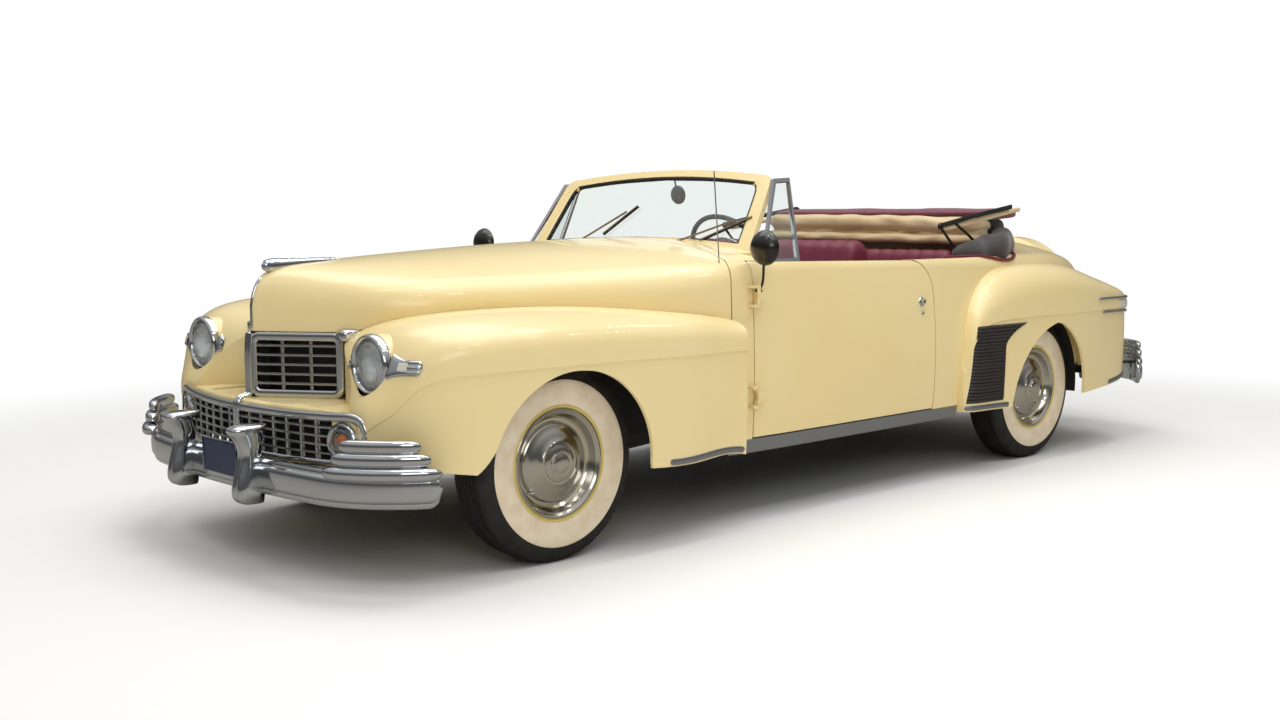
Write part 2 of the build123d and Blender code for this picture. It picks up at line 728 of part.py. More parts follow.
def bumper(front, sign, reach, tall_y, guard_top, iron_length):
    """Bar of three steps with two tall guards and a raised corner guard at each end."""
    low, high = bumper_mid_z - bumper_height / 2, bumper_mid_z + bumper_height / 2
    bar = bumper_bar(front, sign, low, high, 14, 34)
    bar += bumper_bar(front, sign, low + 18, high - 18, 6, 33)
    bar += bumper_bar(front, sign, low + 36, high - 36, 0, 32)
    reach_x = sorted((front - sign * 400, front + sign * 100))
    corner = None
    for rise, depth, inner_y, wrap in CORNER_TIERS:
        tier = bumper_bar(front, sign, high + rise - 46, high + rise, depth, 33, wrap)
        for turn in sides.values():
            y_low, y_high = sorted((turn * inner_y, turn * 1000))
            part = tier & box(*reach_x, y_low, y_high, 0, 900)
            corner = part if corner is None else corner + part
    bar += corner
    for turn in sides.values():
        bar += guard(front - sign * 8, sign, reach + 8, turn * tall_y, low - 28, guard_top, 62)
        y_low, y_high = sorted((turn * 310, turn * 370))
        bar += box(*sorted((front - sign * 25, front - sign * iron_length)), y_low, y_high, 352, 366)
    return bar


front_bumper = bumper(bumper_front_x, 1, front_overhang - bumper_front_x, 250, 540, 265)
rear_bumper = bumper(bumper_rear_x, -1, bumper_rear_x - rear_tip_x, 430, 560, 365)

# Wheels

bead_gap = 0.3
seat_radius = bead_radius - bead_gap
half_rim = rim_width / 2


def tyre_solid():
    """Hollow tyre about the y axis, open towards the rim."""
    r, w, t = tyre_radius, tyre_width / 2, tyre_wall
    half_tread = tread_width / 2
    lip = half_rim - bead_gap

    def wall(turn):
        return [
            (bead_radius, turn * lip),
            (rim_flange_radius + 5, turn * lip),
            (rim_flange_radius + 8, turn * (lip + 12)),
            (rim_flange_radius + 34, turn * (w - 3)),
            (r - 84, turn * w),
            (r - 36, turn * (w - 7)),
            (r - 6, turn * half_tread),
        ]

    right, left = wall(1), wall(-1)
    steps = [
        right[1],
        right[2],
        (right[3], right[4]),
        (right[5], right[6]),
        ((r, 0), left[6]),
        (left[5], left[4]),
        (left[3], left[2]),
        left[1],
        left[0],
        (bead_radius, t - lip - 2),
        ((bead_radius + 34, t - w + 5), (r - 84, t - w)),
        ((r - 40, t - w + 8), (r - t - 6, 6 - half_tread)),
        ((r - t, 0), (r - t - 6, half_tread - 6)),
        ((r - 40, w - t - 8), (r - 84, w - t)),
        ((bead_radius + 34, w - t - 5), (bead_radius, lip + 2 - t)),
    ]
    return turned_about_y(right[0], steps, (0, 0, 0))


def wheel_solid():
    """Pressed wheel about the y axis, outside towards +y: rim, disc, hub and brake drum in one outline."""
    seat, well, edge = seat_radius, rim_well_radius, half_rim
    under_seat, under_well = seat - rim_sheet, well - rim_sheet
    lip = edge + 4
    bore, hub = spindle_radius + wheel_play, 40
    drum = drum_radius
    steps = [
        (rim_flange_radius, edge),
        (seat, edge),
        (seat, 50),
        (well, 42),
        (well, -42),
        (seat, -50),
        (seat, -edge),
        (rim_flange_radius, -edge),
        (rim_flange_radius, -lip),
        (under_seat, -lip),
        (under_seat, -53),
        (under_well, -45),
        (under_well, 20),
        ((158, 31), (150, 35)),
        (70, 28),
        (hub, 28),
        (hub, -8),
        (drum, -8),
        (drum, -56),
        (drum - 8, -56),
        (drum - 8, -14),
        (hub, -14),
        (hub, -42),
        (bore, -42),
        (bore, 34),
        (70, 34),
        (152, 41),
        ((158, 37), (under_well, 28)),
        (under_well, 45),
        (under_seat, 53),
        (under_seat, lip),
    ]
    return turned_about_y((rim_flange_radius, lip), steps, (0, 0, 0))


def trim_solid():
    """Domed hubcap and outer ring about the y axis, as two pieces."""
    cap_foot = 41.3
    cap = turned_about_y(
        (0, 101),
        [(5, 101), ((44, 97), (70, 85)), (78, 78), ((106, 72), (124, 62)), (140, 56),
            ((147, 52), (hubcap_radius, cap_foot)),
         (hubcap_radius - 4, cap_foot), ((143, 50), (136, 53)), (122, 58), ((104, 68), (76, 74)), (66, 81),
         ((42, 92), (5, 96)), (0, 96)],
        (0, 0, 0),
    )
    ring = turned_about_y(
        (rim_flange_radius + 1, half_rim + 4.3),
        [((196, 84), (182, 76)), (168, 50), (171, 49), (184, 73), (184, 74.6), ((195, 80), (203, 74.3))],
        (0, 0, 0),
    )
    return cap, ring


def placed(shape, x, y):
    """A wheel piece at an axle end, its outside away from the middle of the car."""
    turned = shape if y > 0 else Rot(0, 0, 180) * shape
    return Pos(x, y, hub_z) * turned


tyre = tyre_solid()
wheel = wheel_solid()
hubcap, trim_ring = trim_solid()
corners = {}
for end, x, y in (("front", 0.0, front_wheel_y), ("rear", rear_axle_x, rear_wheel_y)):
    for side, turn in sides.items():
        corners[f"{end}_{side}"] = (x, turn * y)

spare_z = 745.0
spare_radius = 366.0
spare_front_x = HULL[-1][0] - soft_gap
spare_depth = 196.0
spare = turned_about_y(
    (0, 0),
    [(spare_radius - 30, 0), ((spare_radius - 6, 10), (spare_radius, 50)), (spare_radius, 146),
     ((spare_radius - 10, 184), (spare_radius - 60, spare_depth)), (150, spare_depth - 4), (140,
         spare_depth - 20), (0, spare_depth - 20)],
    (0, 0, 0),
)
spare_cover = Pos(spare_front_x, 0, spare_z) * Rot(0, 0, 90) * spare

# Axles and steering

spindle_reach = 30.0
knuckle_height = 52.0
eye_height = 34.0
eye_radius = 24.0


def knuckle():
    """Left steering knuckle: yoke, kingpin, spindle, brake plate and steering arm."""
    y, out = kingpin_y, front_wheel_y
    solid = rod((0, y, hub_z - knuckle_height), (0, y, hub_z + knuckle_height), kingpin_radius)
    for z_low, z_high in ((hub_z + eye_height + 2, hub_z + knuckle_height),
        (hub_z - knuckle_height, hub_z - eye_height - 2)):
        solid += rod((0, y, z_low), (0, y, z_high), eye_radius)
        solid += box(-18, 18, y, y + 40, z_low, z_high)
    solid += box(-18, 18, y + 27, y + 40, hub_z - knuckle_height, hub_z + knuckle_height)
    solid += rod((0, y + 27, hub_z), (0, out + spindle_reach, hub_z), spindle_radius)
    solid += rod((0, out - 56, hub_z), (0, out - 50, hub_z), drum_radius - 14)
    arm_z = hub_z - knuckle_height + 2
    solid += box(-steering_arm, 0, y - 12, y + 12, arm_z, arm_z + 12)
    solid += rod((-steering_arm, y, arm_z), (-steering_arm, y, arm_z + 12), 16)
    solid += rod((-steering_arm, y, tie_rod_z - 16), (-steering_arm, y, arm_z + 6), 7)
    return solid


knuckle_left = knuckle()
tie_rod = rod((-steering_arm, -kingpin_y, tie_rod_z), (-steering_arm, kingpin_y, tie_rod_z), tie_rod_radius)
for turn in sides.values():
    y = turn * kingpin_y
    tie_rod += rod((-steering_arm, y, tie_rod_z - 14), (-steering_arm, y, tie_rod_z + 14), 18)
    tie_rod -= rod((-steering_arm, y, tie_rod_z - 30), (-steering_arm, y, tie_rod_z + 30), 7 + pin_play)

rail_top_middle = floor_z
rail_top_rear = 560.0


def rail():
    """Left side rail with its rise over the rear axle, and the horns that carry the bumpers."""
    top = [(640, rail_top_front), (-350, rail_top_front), (-700, rail_top_middle), (-2850, rail_top_middle),
           (-3000, rail_top_rear), (-3440, rail_top_rear), (-3640, 500), (-4205, 470)]
    bottom = [(x, z - rail_height) for x, z in reversed(top)]
    low, high = rail_y - rail_width / 2, rail_y + rail_width / 2
    solid = side_profile(top[0], [*top[1:], *bottom], low, high)
    inside = [(x, z - 8) for x, z in top], [(x, z + 8) for x, z in bottom]
    channel = side_profile(inside[0][0], [*inside[0][1:], *inside[1]], low - 10, high - 8)
    return solid - channel


chassis = rail() + other_side(rail())
shaft_line = ((-1150, 0, 392), (-3040, 0, hub_z))
shaft_radius = 38.0
exhaust_y = -200.0
exhaust_z = 290.0
exhaust_radius = 22.0
inner_rail = rail_y - rail_width / 2 + 2
members = [(560, 620, 345, 435), (60, 140, 352, 438), (-860, -800, 316, 396), (-1900, -1840, 316, 396),
           (-2620, -2560, 316, 396), (-3066, -2994, 500, 559), (-4180, -4120, 366.3, 462)]
for x_low, x_high, z_low, z_high in members:
    chassis += box(x_low, x_high, -inner_rail, inner_rail, z_low, z_high)
chassis -= rod((-700, 0, 392), (-1150, 0, 392), 125)
chassis -= rod(shaft_line[0], (-2700, 0, 371), shaft_radius + 22)
chassis -= rod((-500, exhaust_y, exhaust_z), (-2700, exhaust_y, exhaust_z), exhaust_radius + 14)
outrigger_x = (-1000, -2400)
for x in outrigger_x:
    for turn in sides.values():
        y_low, y_high = sorted((turn * (rail_y + rail_width / 2 - 2), turn * 768))
        chassis += box(x - 30, x + 30, y_low, y_high, floor_z - 60, floor_z)
for turn in sides.values():
    y_low, y_high = sorted((turn * 310, turn * 370))
    chassis += box(634, 660, y_low, y_high, 345, 435)
    chassis -= box(634, 680, y_low, y_high, 352, 366)


def leaf_spring(x, half_span, top_z, drop):
    """Transverse leaf spring: stacked arcs, each leaf shorter than the one above."""
    leaf = 9.0
    solid = None
    for i in range(5):
        half = half_span * (1 - 0.16 * i)
        fall = drop * (half / half_span) ** 2
        high = top_z - i * leaf
        steps = [((0, high), (half, high - fall)), (half, high - fall - leaf),
            ((0, high - leaf), (-half, high - fall - leaf))]
        piece = front_profile((-half, high - fall), steps, x - 28, x + 28)
        solid = piece if solid is None else solid + piece
    return solid


def front_axle_solid():
    """Forged beam with eyes for the kingpins, the transverse spring and the two radius rods."""
    eye_y = kingpin_y
    top = [(-eye_y + 20, hub_z + 26), (-eye_y + 70, hub_z + 10), (-520, 312), (520, 312),
        (eye_y - 70, hub_z + 10), (eye_y - 20, hub_z + 26)]
    bottom = [(eye_y - 20, hub_z - 26), (500, 256), (-500, 256), (-eye_y + 20, hub_z - 26)]
    solid = front_profile(top[0], [*top[1:], *bottom], -24, 24)
    web = [(-480, 300), (480, 300), (480, 268), (-480, 268)]
    for x_low, x_high in ((-30, -8), (8, 30)):
        solid -= front_profile(web[0], web[1:], x_low, x_high)
    for turn in sides.values():
        y = turn * eye_y
        solid += rod((0, y, hub_z - eye_height), (0, y, hub_z + eye_height), eye_radius - 1)
        solid -= rod((0, y, hub_z - 60), (0, y, hub_z + 60), kingpin_radius + pin_play)
        solid += rod((0, turn * 455, 290), (128, turn * 455, 290), 11)
        solid += rod((-10, turn * 455, 262), (-905, turn * rail_y, 302), 12)
        solid += box(72, 128, turn * 455 - 14, turn * 455 + 14, 276, 304)
    solid += leaf_spring(100, 462, 340, 44)
    solid += box(68, 132, -60, 60, 318, 352)
    return solid


front_axle = front_axle_solid() - chassis


def rear_axle_solid():
    """Axle tube with its differential, brake plates, stub shafts and transverse spring."""
    x = rear_axle_x
    reach = rear_wheel_y + spindle_reach
    solid = rod((x, -rear_wheel_y + 56, hub_z), (x, rear_wheel_y - 56, hub_z), 40)
    solid += rod((x, -reach, hub_z), (x, reach, hub_z), spindle_radius)
    solid += Pos(x, 0, hub_z) * Sphere(138)
    for turn in sides.values():
        inner, outer = sorted((turn * (rear_wheel_y - 57), turn * (rear_wheel_y - 50)))
        solid += rod((x, inner, hub_z), (x, outer, hub_z), drum_radius - 14)
        solid += box(x - 30, x + 178, turn * 500 - 14, turn * 500 + 14, 392, 412)
    solid += leaf_spring(x + 145, 508, 500, 88)
    return solid


rear_axle = rear_axle_solid() - chassis
shaft_end_x = rear_axle_x + 132

powertrain = box(-600, 330, -225, 225, 446, 820)
powertrain += side_profile((-560, 446), [(40, 446), (10, 400), (-300, 372), (-560, 372)], -130, 130)
powertrain += side_profile((-598, 500), [(-598, 320), (-1150, 330), (-1150, 455), (-760, 480)], -88, 88)
powertrain += rod(shaft_line[0], (shaft_end_x, 0, 368), shaft_radius)
powertrain -= rear_axle

exhaust = rod((-520, exhaust_y, 446), (-520, exhaust_y, exhaust_z), exhaust_radius)
exhaust += rod((-520, exhaust_y, exhaust_z), (-4330, exhaust_y, exhaust_z), exhaust_radius)
exhaust += rod((-2050, exhaust_y, 320), (-2520, exhaust_y, 320), 68)
exhaust += box(-2300, -2280, exhaust_y - 8, exhaust_y + 8, 380, floor_z)
exhaust -= powertrain
fuel_tank = box(-4110, -3560, -350, 350, 400, rear_floor_z - soft_gap)

# Floor and wheel housings

floor = box(-2845, firewall_x - firewall_sheet, -788, 788, floor_z, floor_z + floor_sheet)
for turn in sides.values():
    y_low, y_high = sorted((turn * 772, turn * 788))
    floor += box(-2840, -910, y_low, y_high, sill_top_z, floor_z + 2)
tunnel = rod((firewall_x - firewall_sheet, 0, floor_z), (-2845, 0, floor_z), tunnel_radius + 8)
tunnel_room = rod((-800, 0, floor_z), (-2845, 0, floor_z), tunnel_radius)
for turn in sides.values():
    y_low, y_high = sorted((turn * liner_y, turn * 1000))
    floor -= wheel_space(rear_axle_x, liner_radius - 4, y_low, y_high)
floor = (floor + (tunnel & box(-3000, -800, -200, 200, floor_z, 700))) - tunnel_room
bulkhead_x = -2830.0
shelf_top_z = 985.0
floor += box(bulkhead_x - 15, bulkhead_x, -liner_y, liner_y, floor_z, shelf_top_z) - tunnel_room
floor += box(-4180, bulkhead_x - 2, -liner_y - 6, liner_y + 6, rear_floor_z, rear_floor_z + floor_sheet)
floor += box(-3080, bulkhead_x - 2, -700, 700, shelf_top_z - 14, shelf_top_z)
for turn in sides.values():
    y_low, y_high = sorted((turn * liner_y, turn * 900))
    liner = wheel_space(rear_axle_x, liner_radius, y_low, y_high)
    y_low, y_high = sorted((turn * (liner_y + 8), turn * 950))
    liner -= wheel_space(rear_axle_x, liner_radius - 8, y_low, y_high)
    floor += liner & box(-3700, -2700, -900, 900, 420, 900)
floor_pan = floor & hull_outer
floor_pan -= rear_body
floor_pan -= rod((-2700, 0, 372), (-3040, 0, hub_z), shaft_radius + 20)

wing_y = rail_y + rail_width / 2
inner_wing = box(-892, 466, wing_y, wing_y + 6, 345, 806)
inner_wing += box(-892, 466, wing_y, 700, 800, 806) & hull_outer
inner_wing -= cowl
inner_wing -= box(420 - soft_gap, 500, 400, 720, 596 - soft_gap, 820)
inner_wing -= rod((0, 0, hub_z), (0, 700, hub_z), 60)

# Cabin

dash_slope = [(-1216, 1098), (-1216, 890), (-1240, 868), ((-1285, 872), (-1300, 905)),
    ((-1296, 1010), (-1262, 1088))]
dashboard = side_profile(dash_slope[0], dash_slope[1:], -773, 773) & (Pos(0, 0, -12) * hull_outer)
column_way = math.radians(column_slope)
wheel_x, wheel_y, wheel_z = wheel_centre
axis_x, axis_z = -math.cos(column_way), math.sin(column_way)


def along_column(distance):
    """Point on the column's line, measured from the steering wheel's centre towards the driver."""
    return (wheel_x + axis_x * distance, wheel_y, wheel_z + axis_z * distance)


steering_column = rod(along_column(-30.5), along_column(-620),
    21) - box(firewall_x - firewall_sheet - soft_gap, 0, 0, 900, 0, 1200)
dashboard -= rod(along_column(-20), along_column(-400), 21 + soft_gap)
rim_plane = Plane(origin=wheel_centre, x_dir=(0, 1, 0), z_dir=(axis_x, 0, axis_z))
steering_wheel = rim_plane * Torus(steering_wheel_radius, 11)
steering_wheel += rod(along_column(-30), along_column(14), 34)
for angle in (0, 120, 240):
    turn = math.radians(angle + 90)
    local = rim_plane.from_local_coords(Vector(steering_wheel_radius * math.cos(turn),
        steering_wheel_radius * math.sin(turn), 0))
    steering_wheel += rod(wheel_centre, tuple(local), 8)

seat_base_z = floor_z + floor_sheet + soft_gap
front_seat = side_profile(
    (-1400, 470),
    [(-1400, 690), ((-1412, 742), (-1462, 752)), (-1820, 738), (-1900, 1090),
        ((-1926, 1128), (-1968, 1130)), ((-2010, 1112), (-2016, 1070)),
     (-1990, seat_base_z), (-1450, seat_base_z)],
    -680,
    680,
)
rear_seat = side_profile(
    (-2350, 470),
    [(-2350, 700), ((-2362, 752), (-2412, 762)), (-2700, 742), (-2742, 1030),
        ((-2765, 1066), (-2800, 1068)), (-2829.7, 1060), (-2829.7, seat_base_z), (-2390, seat_base_z)],
    -610,
    610,
)
seat_tunnel = rod((-1300, 0, floor_z), (-2900, 0, floor_z), tunnel_radius + 8 + soft_gap)
front_seat -= seat_tunnel
rear_seat -= seat_tunnel

top_front = side_profile(
    (-3085, 1220),
    [(-2900, 1235), ((-2852, 1210), (-2840, 1160)), (-2840, 1080), (-2900, shelf_top_z + soft_gap),
        (-3079, shelf_top_z + soft_gap), (-3085, 1100)],
    -690,
    690,
)
top_rear = side_profile(
    (-3080, 1220),
    [((-3200, 1285), (-3330, 1280)), ((-3386, 1262), (-3400, 1215)), ((-3386, 1150), (-3330, 1110)),
        (-3085, 1000), (-3080, 1100)],
    -690,
    690,
) - hull_clear
folded_top = (top_front - rear_body) + top_rear

top_bows = beam((-2560, 728, 1120), (-3060, 728, 1190), 10, 30)
top_bows += beam((-2575, 728, 1150), (-2900, 728, 1060), 10, 26)
top_bows += rod((-2880, 720, 1045), (-2880, 769.3, 1045), 14)

# Windshield

screen_way = math.radians(screen_lean)
screen_plane = Plane(
    origin=(screen_base_x, 0, screen_base_z),
    x_dir=(0, 1, 0),
    z_dir=(math.cos(screen_way), 0, math.sin(screen_way)),
)


def on_screen(start, steps, low, high):
    """Solid drawn in the windshield's plane, from (y, height along the slope) pairs."""
    wire = wire_of(lambda y, v: screen_plane.from_local_coords(Vector(y, v, low)), start, steps)
    return extrude(Face(wire), amount=high - low, dir=screen_plane.z_dir)


def screen_outline(inset, bottom_v, bottom_rise):
    base, top = screen_base_half_width - inset * 1.6, screen_top_half_width - inset
    corner = 60.0
    high = screen_height - inset
    side_v = high - corner
    return (
        (-base, bottom_v),
        [((0, bottom_v + bottom_rise), (base, bottom_v)), (top + 18, side_v),
            ((top, high - 22), (top - 48, high - 6)),
         ((0, high + 34), (48 - top, high - 6)), ((-top, high - 22), (-top - 18, side_v))],
    )


outer_start, outer_steps = screen_outline(0, -40, 1)
inner_start, inner_steps = screen_outline(screen_rail, 30, 30)
glass_wire = (inner_start, inner_steps)
windshield_frame = on_screen(outer_start, outer_steps, -screen_depth / 2, screen_depth / 2)
windshield_frame -= on_screen(*glass_wire, -screen_depth, screen_depth)
windshield_frame -= hull_outer
windshield_glass = on_screen(*glass_wire, -glass_thickness / 2, glass_thickness / 2) - hull_outer

# Vent windows and mirrors, on the doors

vent_tilt = math.radians(18.0)
vent_plane = Plane(origin=(-1253, 790, 1056), x_dir=(1, 0, 0),
    z_dir=(0, -math.cos(vent_tilt), -math.sin(vent_tilt)))


def on_vent(points, low, high):
    wire = wire_of(lambda x, v: vent_plane.from_local_coords(Vector(x, v, low)), points[0], points[1:])
    return extrude(Face(wire), amount=high - low, dir=vent_plane.z_dir)


vent_outer = [(-120, -34), (121, -34), (-84, 368), (-190, 374)]
vent_inner = [(-110, 14), (94, 14), (-94, 350), (-176, 356)]
vent_frame = on_vent(vent_outer, -9, 9) - on_vent(vent_inner, -20, 20)
vent_frame -= Pos(0, -soft_gap, soft_gap) * door_left
vent_frame -= Pos(0, soft_gap, -soft_gap) * door_left
vent_frame -= box(-1400, -1080, 700, 785, 1000, 1072)
vent_glass = on_vent(vent_inner, -2.5, 2.5)

mirror_head = (-1005.0, 920.0, 1124.0)
door_mirror = rod((-1016, 872, 950), (-1009, 912, 1100),
    7) + rod((mirror_head[0] - 12, *mirror_head[1:]), (mirror_head[0] + 14, *mirror_head[1:]), 54)
door_mirror -= door_left

wiper_pivot_y = 304.0


def wiper(pivot_y, reach):
    """Wiper parked aslant: pivot on the cowl, arm and blade just off the glass."""
    lift = 22.0

    def point(y, v, off):
        return tuple(screen_plane.from_local_coords(Vector(pivot_y + y, v, off)))

    solid = rod(point(0, 40, lift), point(reach, 142, lift - 5), 4)
    solid += rod(point(0, 5, lift), point(0, 40, lift), 9)
    solid += beam(point(reach - 142, 72, 11), point(reach + 82, 166, 11), 8, 12)
    return solid


wipers = wiper(-wiper_pivot_y, 230) + wiper(wiper_pivot_y, 230)
wipers = wipers - hull_outer - windshield_frame - windshield_glass

ornament = side_profile(
    (704, 1080),
    [((560, 1112), (387, 1100)), (387, 1060), (640, 1040), (690, 1066)],
    -9,
    9,
) - hull_outer
ornament = max(ornament.solids(), key=lambda s: s.volume)

# Pieces by name

nodes = {
    "chassis_frame": chassis,
    "front_axle": front_axle,
    "rear_axle": rear_axle,
    "knuckle_left": knuckle_left,
    "knuckle_right": other_side(knuckle_left),
    "tie_rod": tie_rod,
    "powertrain": powertrain,
    "exhaust": exhaust,
    "fuel_tank": fuel_tank,
    "radiator": radiator,
    "floor_pan": floor_pan,
    "inner_wings": pair(inner_wing),
    "cowl": cowl,
    "rear_body": rear_body,
    "hood": hood,
    "hood_ornament": ornament,
    "trunk_lid": trunk_lid,
    "door_left": door_left,
    "door_right": other_side(door_left),
    "sills": pair(sills),
    "front_fenders": pair(front_fender),
    "rear_fenders": pair(rear_fender),
    "gravel_shields": pair(gravel_shield),
    "front_apron": apron,
    "upper_grille": upper_grille,
    "lower_grille": lower_grille,
    "headlight_bezels": pair(bezel),
    "lamp_lenses": Compound(lamp_lenses),
    "tail_lamps": pair(tail_lamp),
    "front_bumper": front_bumper,
    "rear_bumper": rear_bumper,
    "spare_cover": spare_cover,
    "windshield_frame": windshield_frame,
    "windshield_glass": windshield_glass,
    "vent_frame_left": vent_frame,
    "vent_frame_right": other_side(vent_frame),
    "vent_glass_left": vent_glass,
    "vent_glass_right": other_side(vent_glass),
    "mirror_left": door_mirror,
    "mirror_right": other_side(door_mirror),
    "wipers": Compound(wipers.solids()),
    "dashboard": dashboard,
    "steering_column": steering_column,
    "steering_wheel": steering_wheel,
    "front_seat": front_seat,
    "rear_seat": rear_seat,
    "folded_top": folded_top,
    "top_bows": pair(top_bows),
}
for corner, (x, y) in corners.items():
    nodes[f"tyre_{corner}"] = placed(tyre, x, y)
    nodes[f"wheel_{corner}"] = placed(wheel, x, y)
    nodes[f"wheel_trim_{corner}"] = Compound([placed(hubcap, x, y), placed(trim_ring, x, y)])

os.makedirs("parts", exist_ok=True)
for name, shape in nodes.items():
    export_step(Pos(front_axle_x, 0, 0) * shape, f"parts/{name}.step")
print(len(nodes), "pieces")
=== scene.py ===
import json

import bmesh
import bpy
import numpy as np
from bpy.props import FloatProperty, FloatVectorProperty, IntProperty, PointerProperty
from mathutils import Matrix, Vector
from mathutils.bvhtree import BVHTree


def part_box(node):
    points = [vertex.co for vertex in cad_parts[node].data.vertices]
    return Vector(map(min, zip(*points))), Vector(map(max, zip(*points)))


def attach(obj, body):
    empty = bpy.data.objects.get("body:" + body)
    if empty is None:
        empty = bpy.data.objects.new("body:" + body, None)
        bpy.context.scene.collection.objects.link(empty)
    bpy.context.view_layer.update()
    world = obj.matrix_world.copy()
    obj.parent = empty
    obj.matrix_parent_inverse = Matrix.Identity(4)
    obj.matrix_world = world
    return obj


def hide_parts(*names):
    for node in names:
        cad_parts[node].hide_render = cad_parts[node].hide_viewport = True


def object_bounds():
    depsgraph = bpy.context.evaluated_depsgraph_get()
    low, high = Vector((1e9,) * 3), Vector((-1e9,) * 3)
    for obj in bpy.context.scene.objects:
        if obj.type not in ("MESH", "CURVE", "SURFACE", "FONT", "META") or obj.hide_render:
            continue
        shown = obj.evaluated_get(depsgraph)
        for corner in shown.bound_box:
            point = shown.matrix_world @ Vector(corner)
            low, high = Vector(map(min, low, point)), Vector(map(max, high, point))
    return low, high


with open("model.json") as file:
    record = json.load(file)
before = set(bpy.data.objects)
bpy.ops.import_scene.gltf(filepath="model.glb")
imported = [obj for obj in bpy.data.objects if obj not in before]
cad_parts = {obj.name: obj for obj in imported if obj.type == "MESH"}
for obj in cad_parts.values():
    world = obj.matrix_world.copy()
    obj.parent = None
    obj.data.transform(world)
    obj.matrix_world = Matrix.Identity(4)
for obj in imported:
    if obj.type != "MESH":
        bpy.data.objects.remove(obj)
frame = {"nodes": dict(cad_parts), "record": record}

bl_info = {
    "name": "Open Touring Car",
    "version": (1, 0, 0),
    "blender": (4, 5, 0),
    "location": "3D View > Sidebar > Touring Car",
    "description": "Dresses the frame of a 1940s four-seat open touring car",
    "category": "Object",
}

# Lengths in this file are millimetres from the front axle: x forward, y to the car's left, z up
# from the ground.
CAD_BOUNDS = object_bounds()
WHEEL_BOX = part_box("tyre_front_left")
AXLE_X = (WHEEL_BOX[0].x + WHEEL_BOX[1].x) * 500.0
HUB_Z = (WHEEL_BOX[0].z + WHEEL_BOX[1].z) * 500.0
REAR_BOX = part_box("tyre_rear_left")
REAR_AXLE = (REAR_BOX[0].x + REAR_BOX[1].x) * 500.0 - AXLE_X
FRONT_WHEEL_Y = (WHEEL_BOX[0].y + WHEEL_BOX[1].y) * 500.0
REAR_WHEEL_Y = (REAR_BOX[0].y + REAR_BOX[1].y) * 500.0
CORNERS = {
    "front_left": (0.0, FRONT_WHEEL_Y),
    "front_right": (0.0, -FRONT_WHEEL_Y),
    "rear_left": (REAR_AXLE, REAR_WHEEL_Y),
    "rear_right": (REAR_AXLE, -REAR_WHEEL_Y),
}
MATERIALS = {}


# Colour and materials


def linear(code):
    """Linear colour of an sRGB hex code: each channel is undone from the sRGB curve."""
    channels = np.array([int(code[i : i + 2], 16) for i in (1, 3, 5)]) / 255.0
    low, high = channels / 12.92, ((channels + 0.055) / 1.055) ** 2.4
    return tuple(float(c) for c in np.where(channels <= 0.04045, low, high)) + (1.0,)


def add_node(tree, kind, settings=None, inputs=None):
    """Adds a node, sets its properties, and sets or links its inputs by name or number."""
    node = tree.nodes.new(kind)
    for key, value in (settings or {}).items():
        setattr(node, key, value)
    for key, value in (inputs or {}).items():
        if isinstance(value, bpy.types.NodeSocket):
            tree.links.new(value, node.inputs[key])
        else:
            node.inputs[key].default_value = value
    return node


def new_material(name, colour, roughness, metallic=0.0, **sockets):
    """Principled material with its plain values; returns the material, its tree and its shader."""
    material = bpy.data.materials.new(name)
    material.use_nodes = True
    tree = material.node_tree
    shader = next(n for n in tree.nodes if n.type == "BSDF_PRINCIPLED")
    shader.inputs["Base Color"].default_value = colour
    shader.inputs["Roughness"].default_value = roughness
    shader.inputs["Metallic"].default_value = metallic
    for key, value in sockets.items():
        shader.inputs[key.replace("_", " ")].default_value = value
    material.diffuse_color = colour
    MATERIALS[name] = material
    return tree, shader


def cell_size(millimetres):
    """Scale of a pattern on Object coordinates, which are metres, from the size of one of its cells."""
    return 1000.0 / millimetres


def mottle(tree, shader, colour, other, millimetres, share):
    """Blends two colours by a soft noise on Object coordinates."""
    place = add_node(tree, "ShaderNodeTexCoord").outputs["Object"]
    settings = {"Scale": cell_size(millimetres), "Detail": 3.0}
    noise = add_node(tree, "ShaderNodeTexNoise", None, {"Vector": place, **settings})
    ramp = {"From Min": 0.35, "From Max": 0.65, "To Max": share}
    amount = add_node(tree, "ShaderNodeMapRange", None, {"Value": noise.outputs["Fac"], **ramp})
    mix = tree.nodes.new("ShaderNodeMix")
    mix.data_type = "RGBA"
    tree.links.new(amount.outputs["Result"], mix.inputs[0])
    mix.inputs[6].default_value = colour
    mix.inputs[7].default_value = other
    tree.links.new(mix.outputs[2], shader.inputs["Base Color"])


def relief(tree, shader, height, depth_mm):
    """Bump from a height socket, as deep as given in millimetres."""
    bump = add_node(tree, "ShaderNodeBump", None, {"Height": height, "Distance": depth_mm / 1000.0})
    tree.links.new(bump.outputs["Normal"], shader.inputs["Normal"])


def grain(tree, shader, millimetres, depth_mm, kind="ShaderNodeTexNoise"):
    """Fine relief of a surface from noise or cells on Object coordinates."""
    place = add_node(tree, "ShaderNodeTexCoord").outputs["Object"]
    pattern = add_node(tree, kind, None, {"Vector": place, "Scale": cell_size(millimetres)})
    output = "Fac" if kind == "ShaderNodeTexNoise" else "Distance"
    relief(tree, shader, pattern.outputs[output], depth_mm)


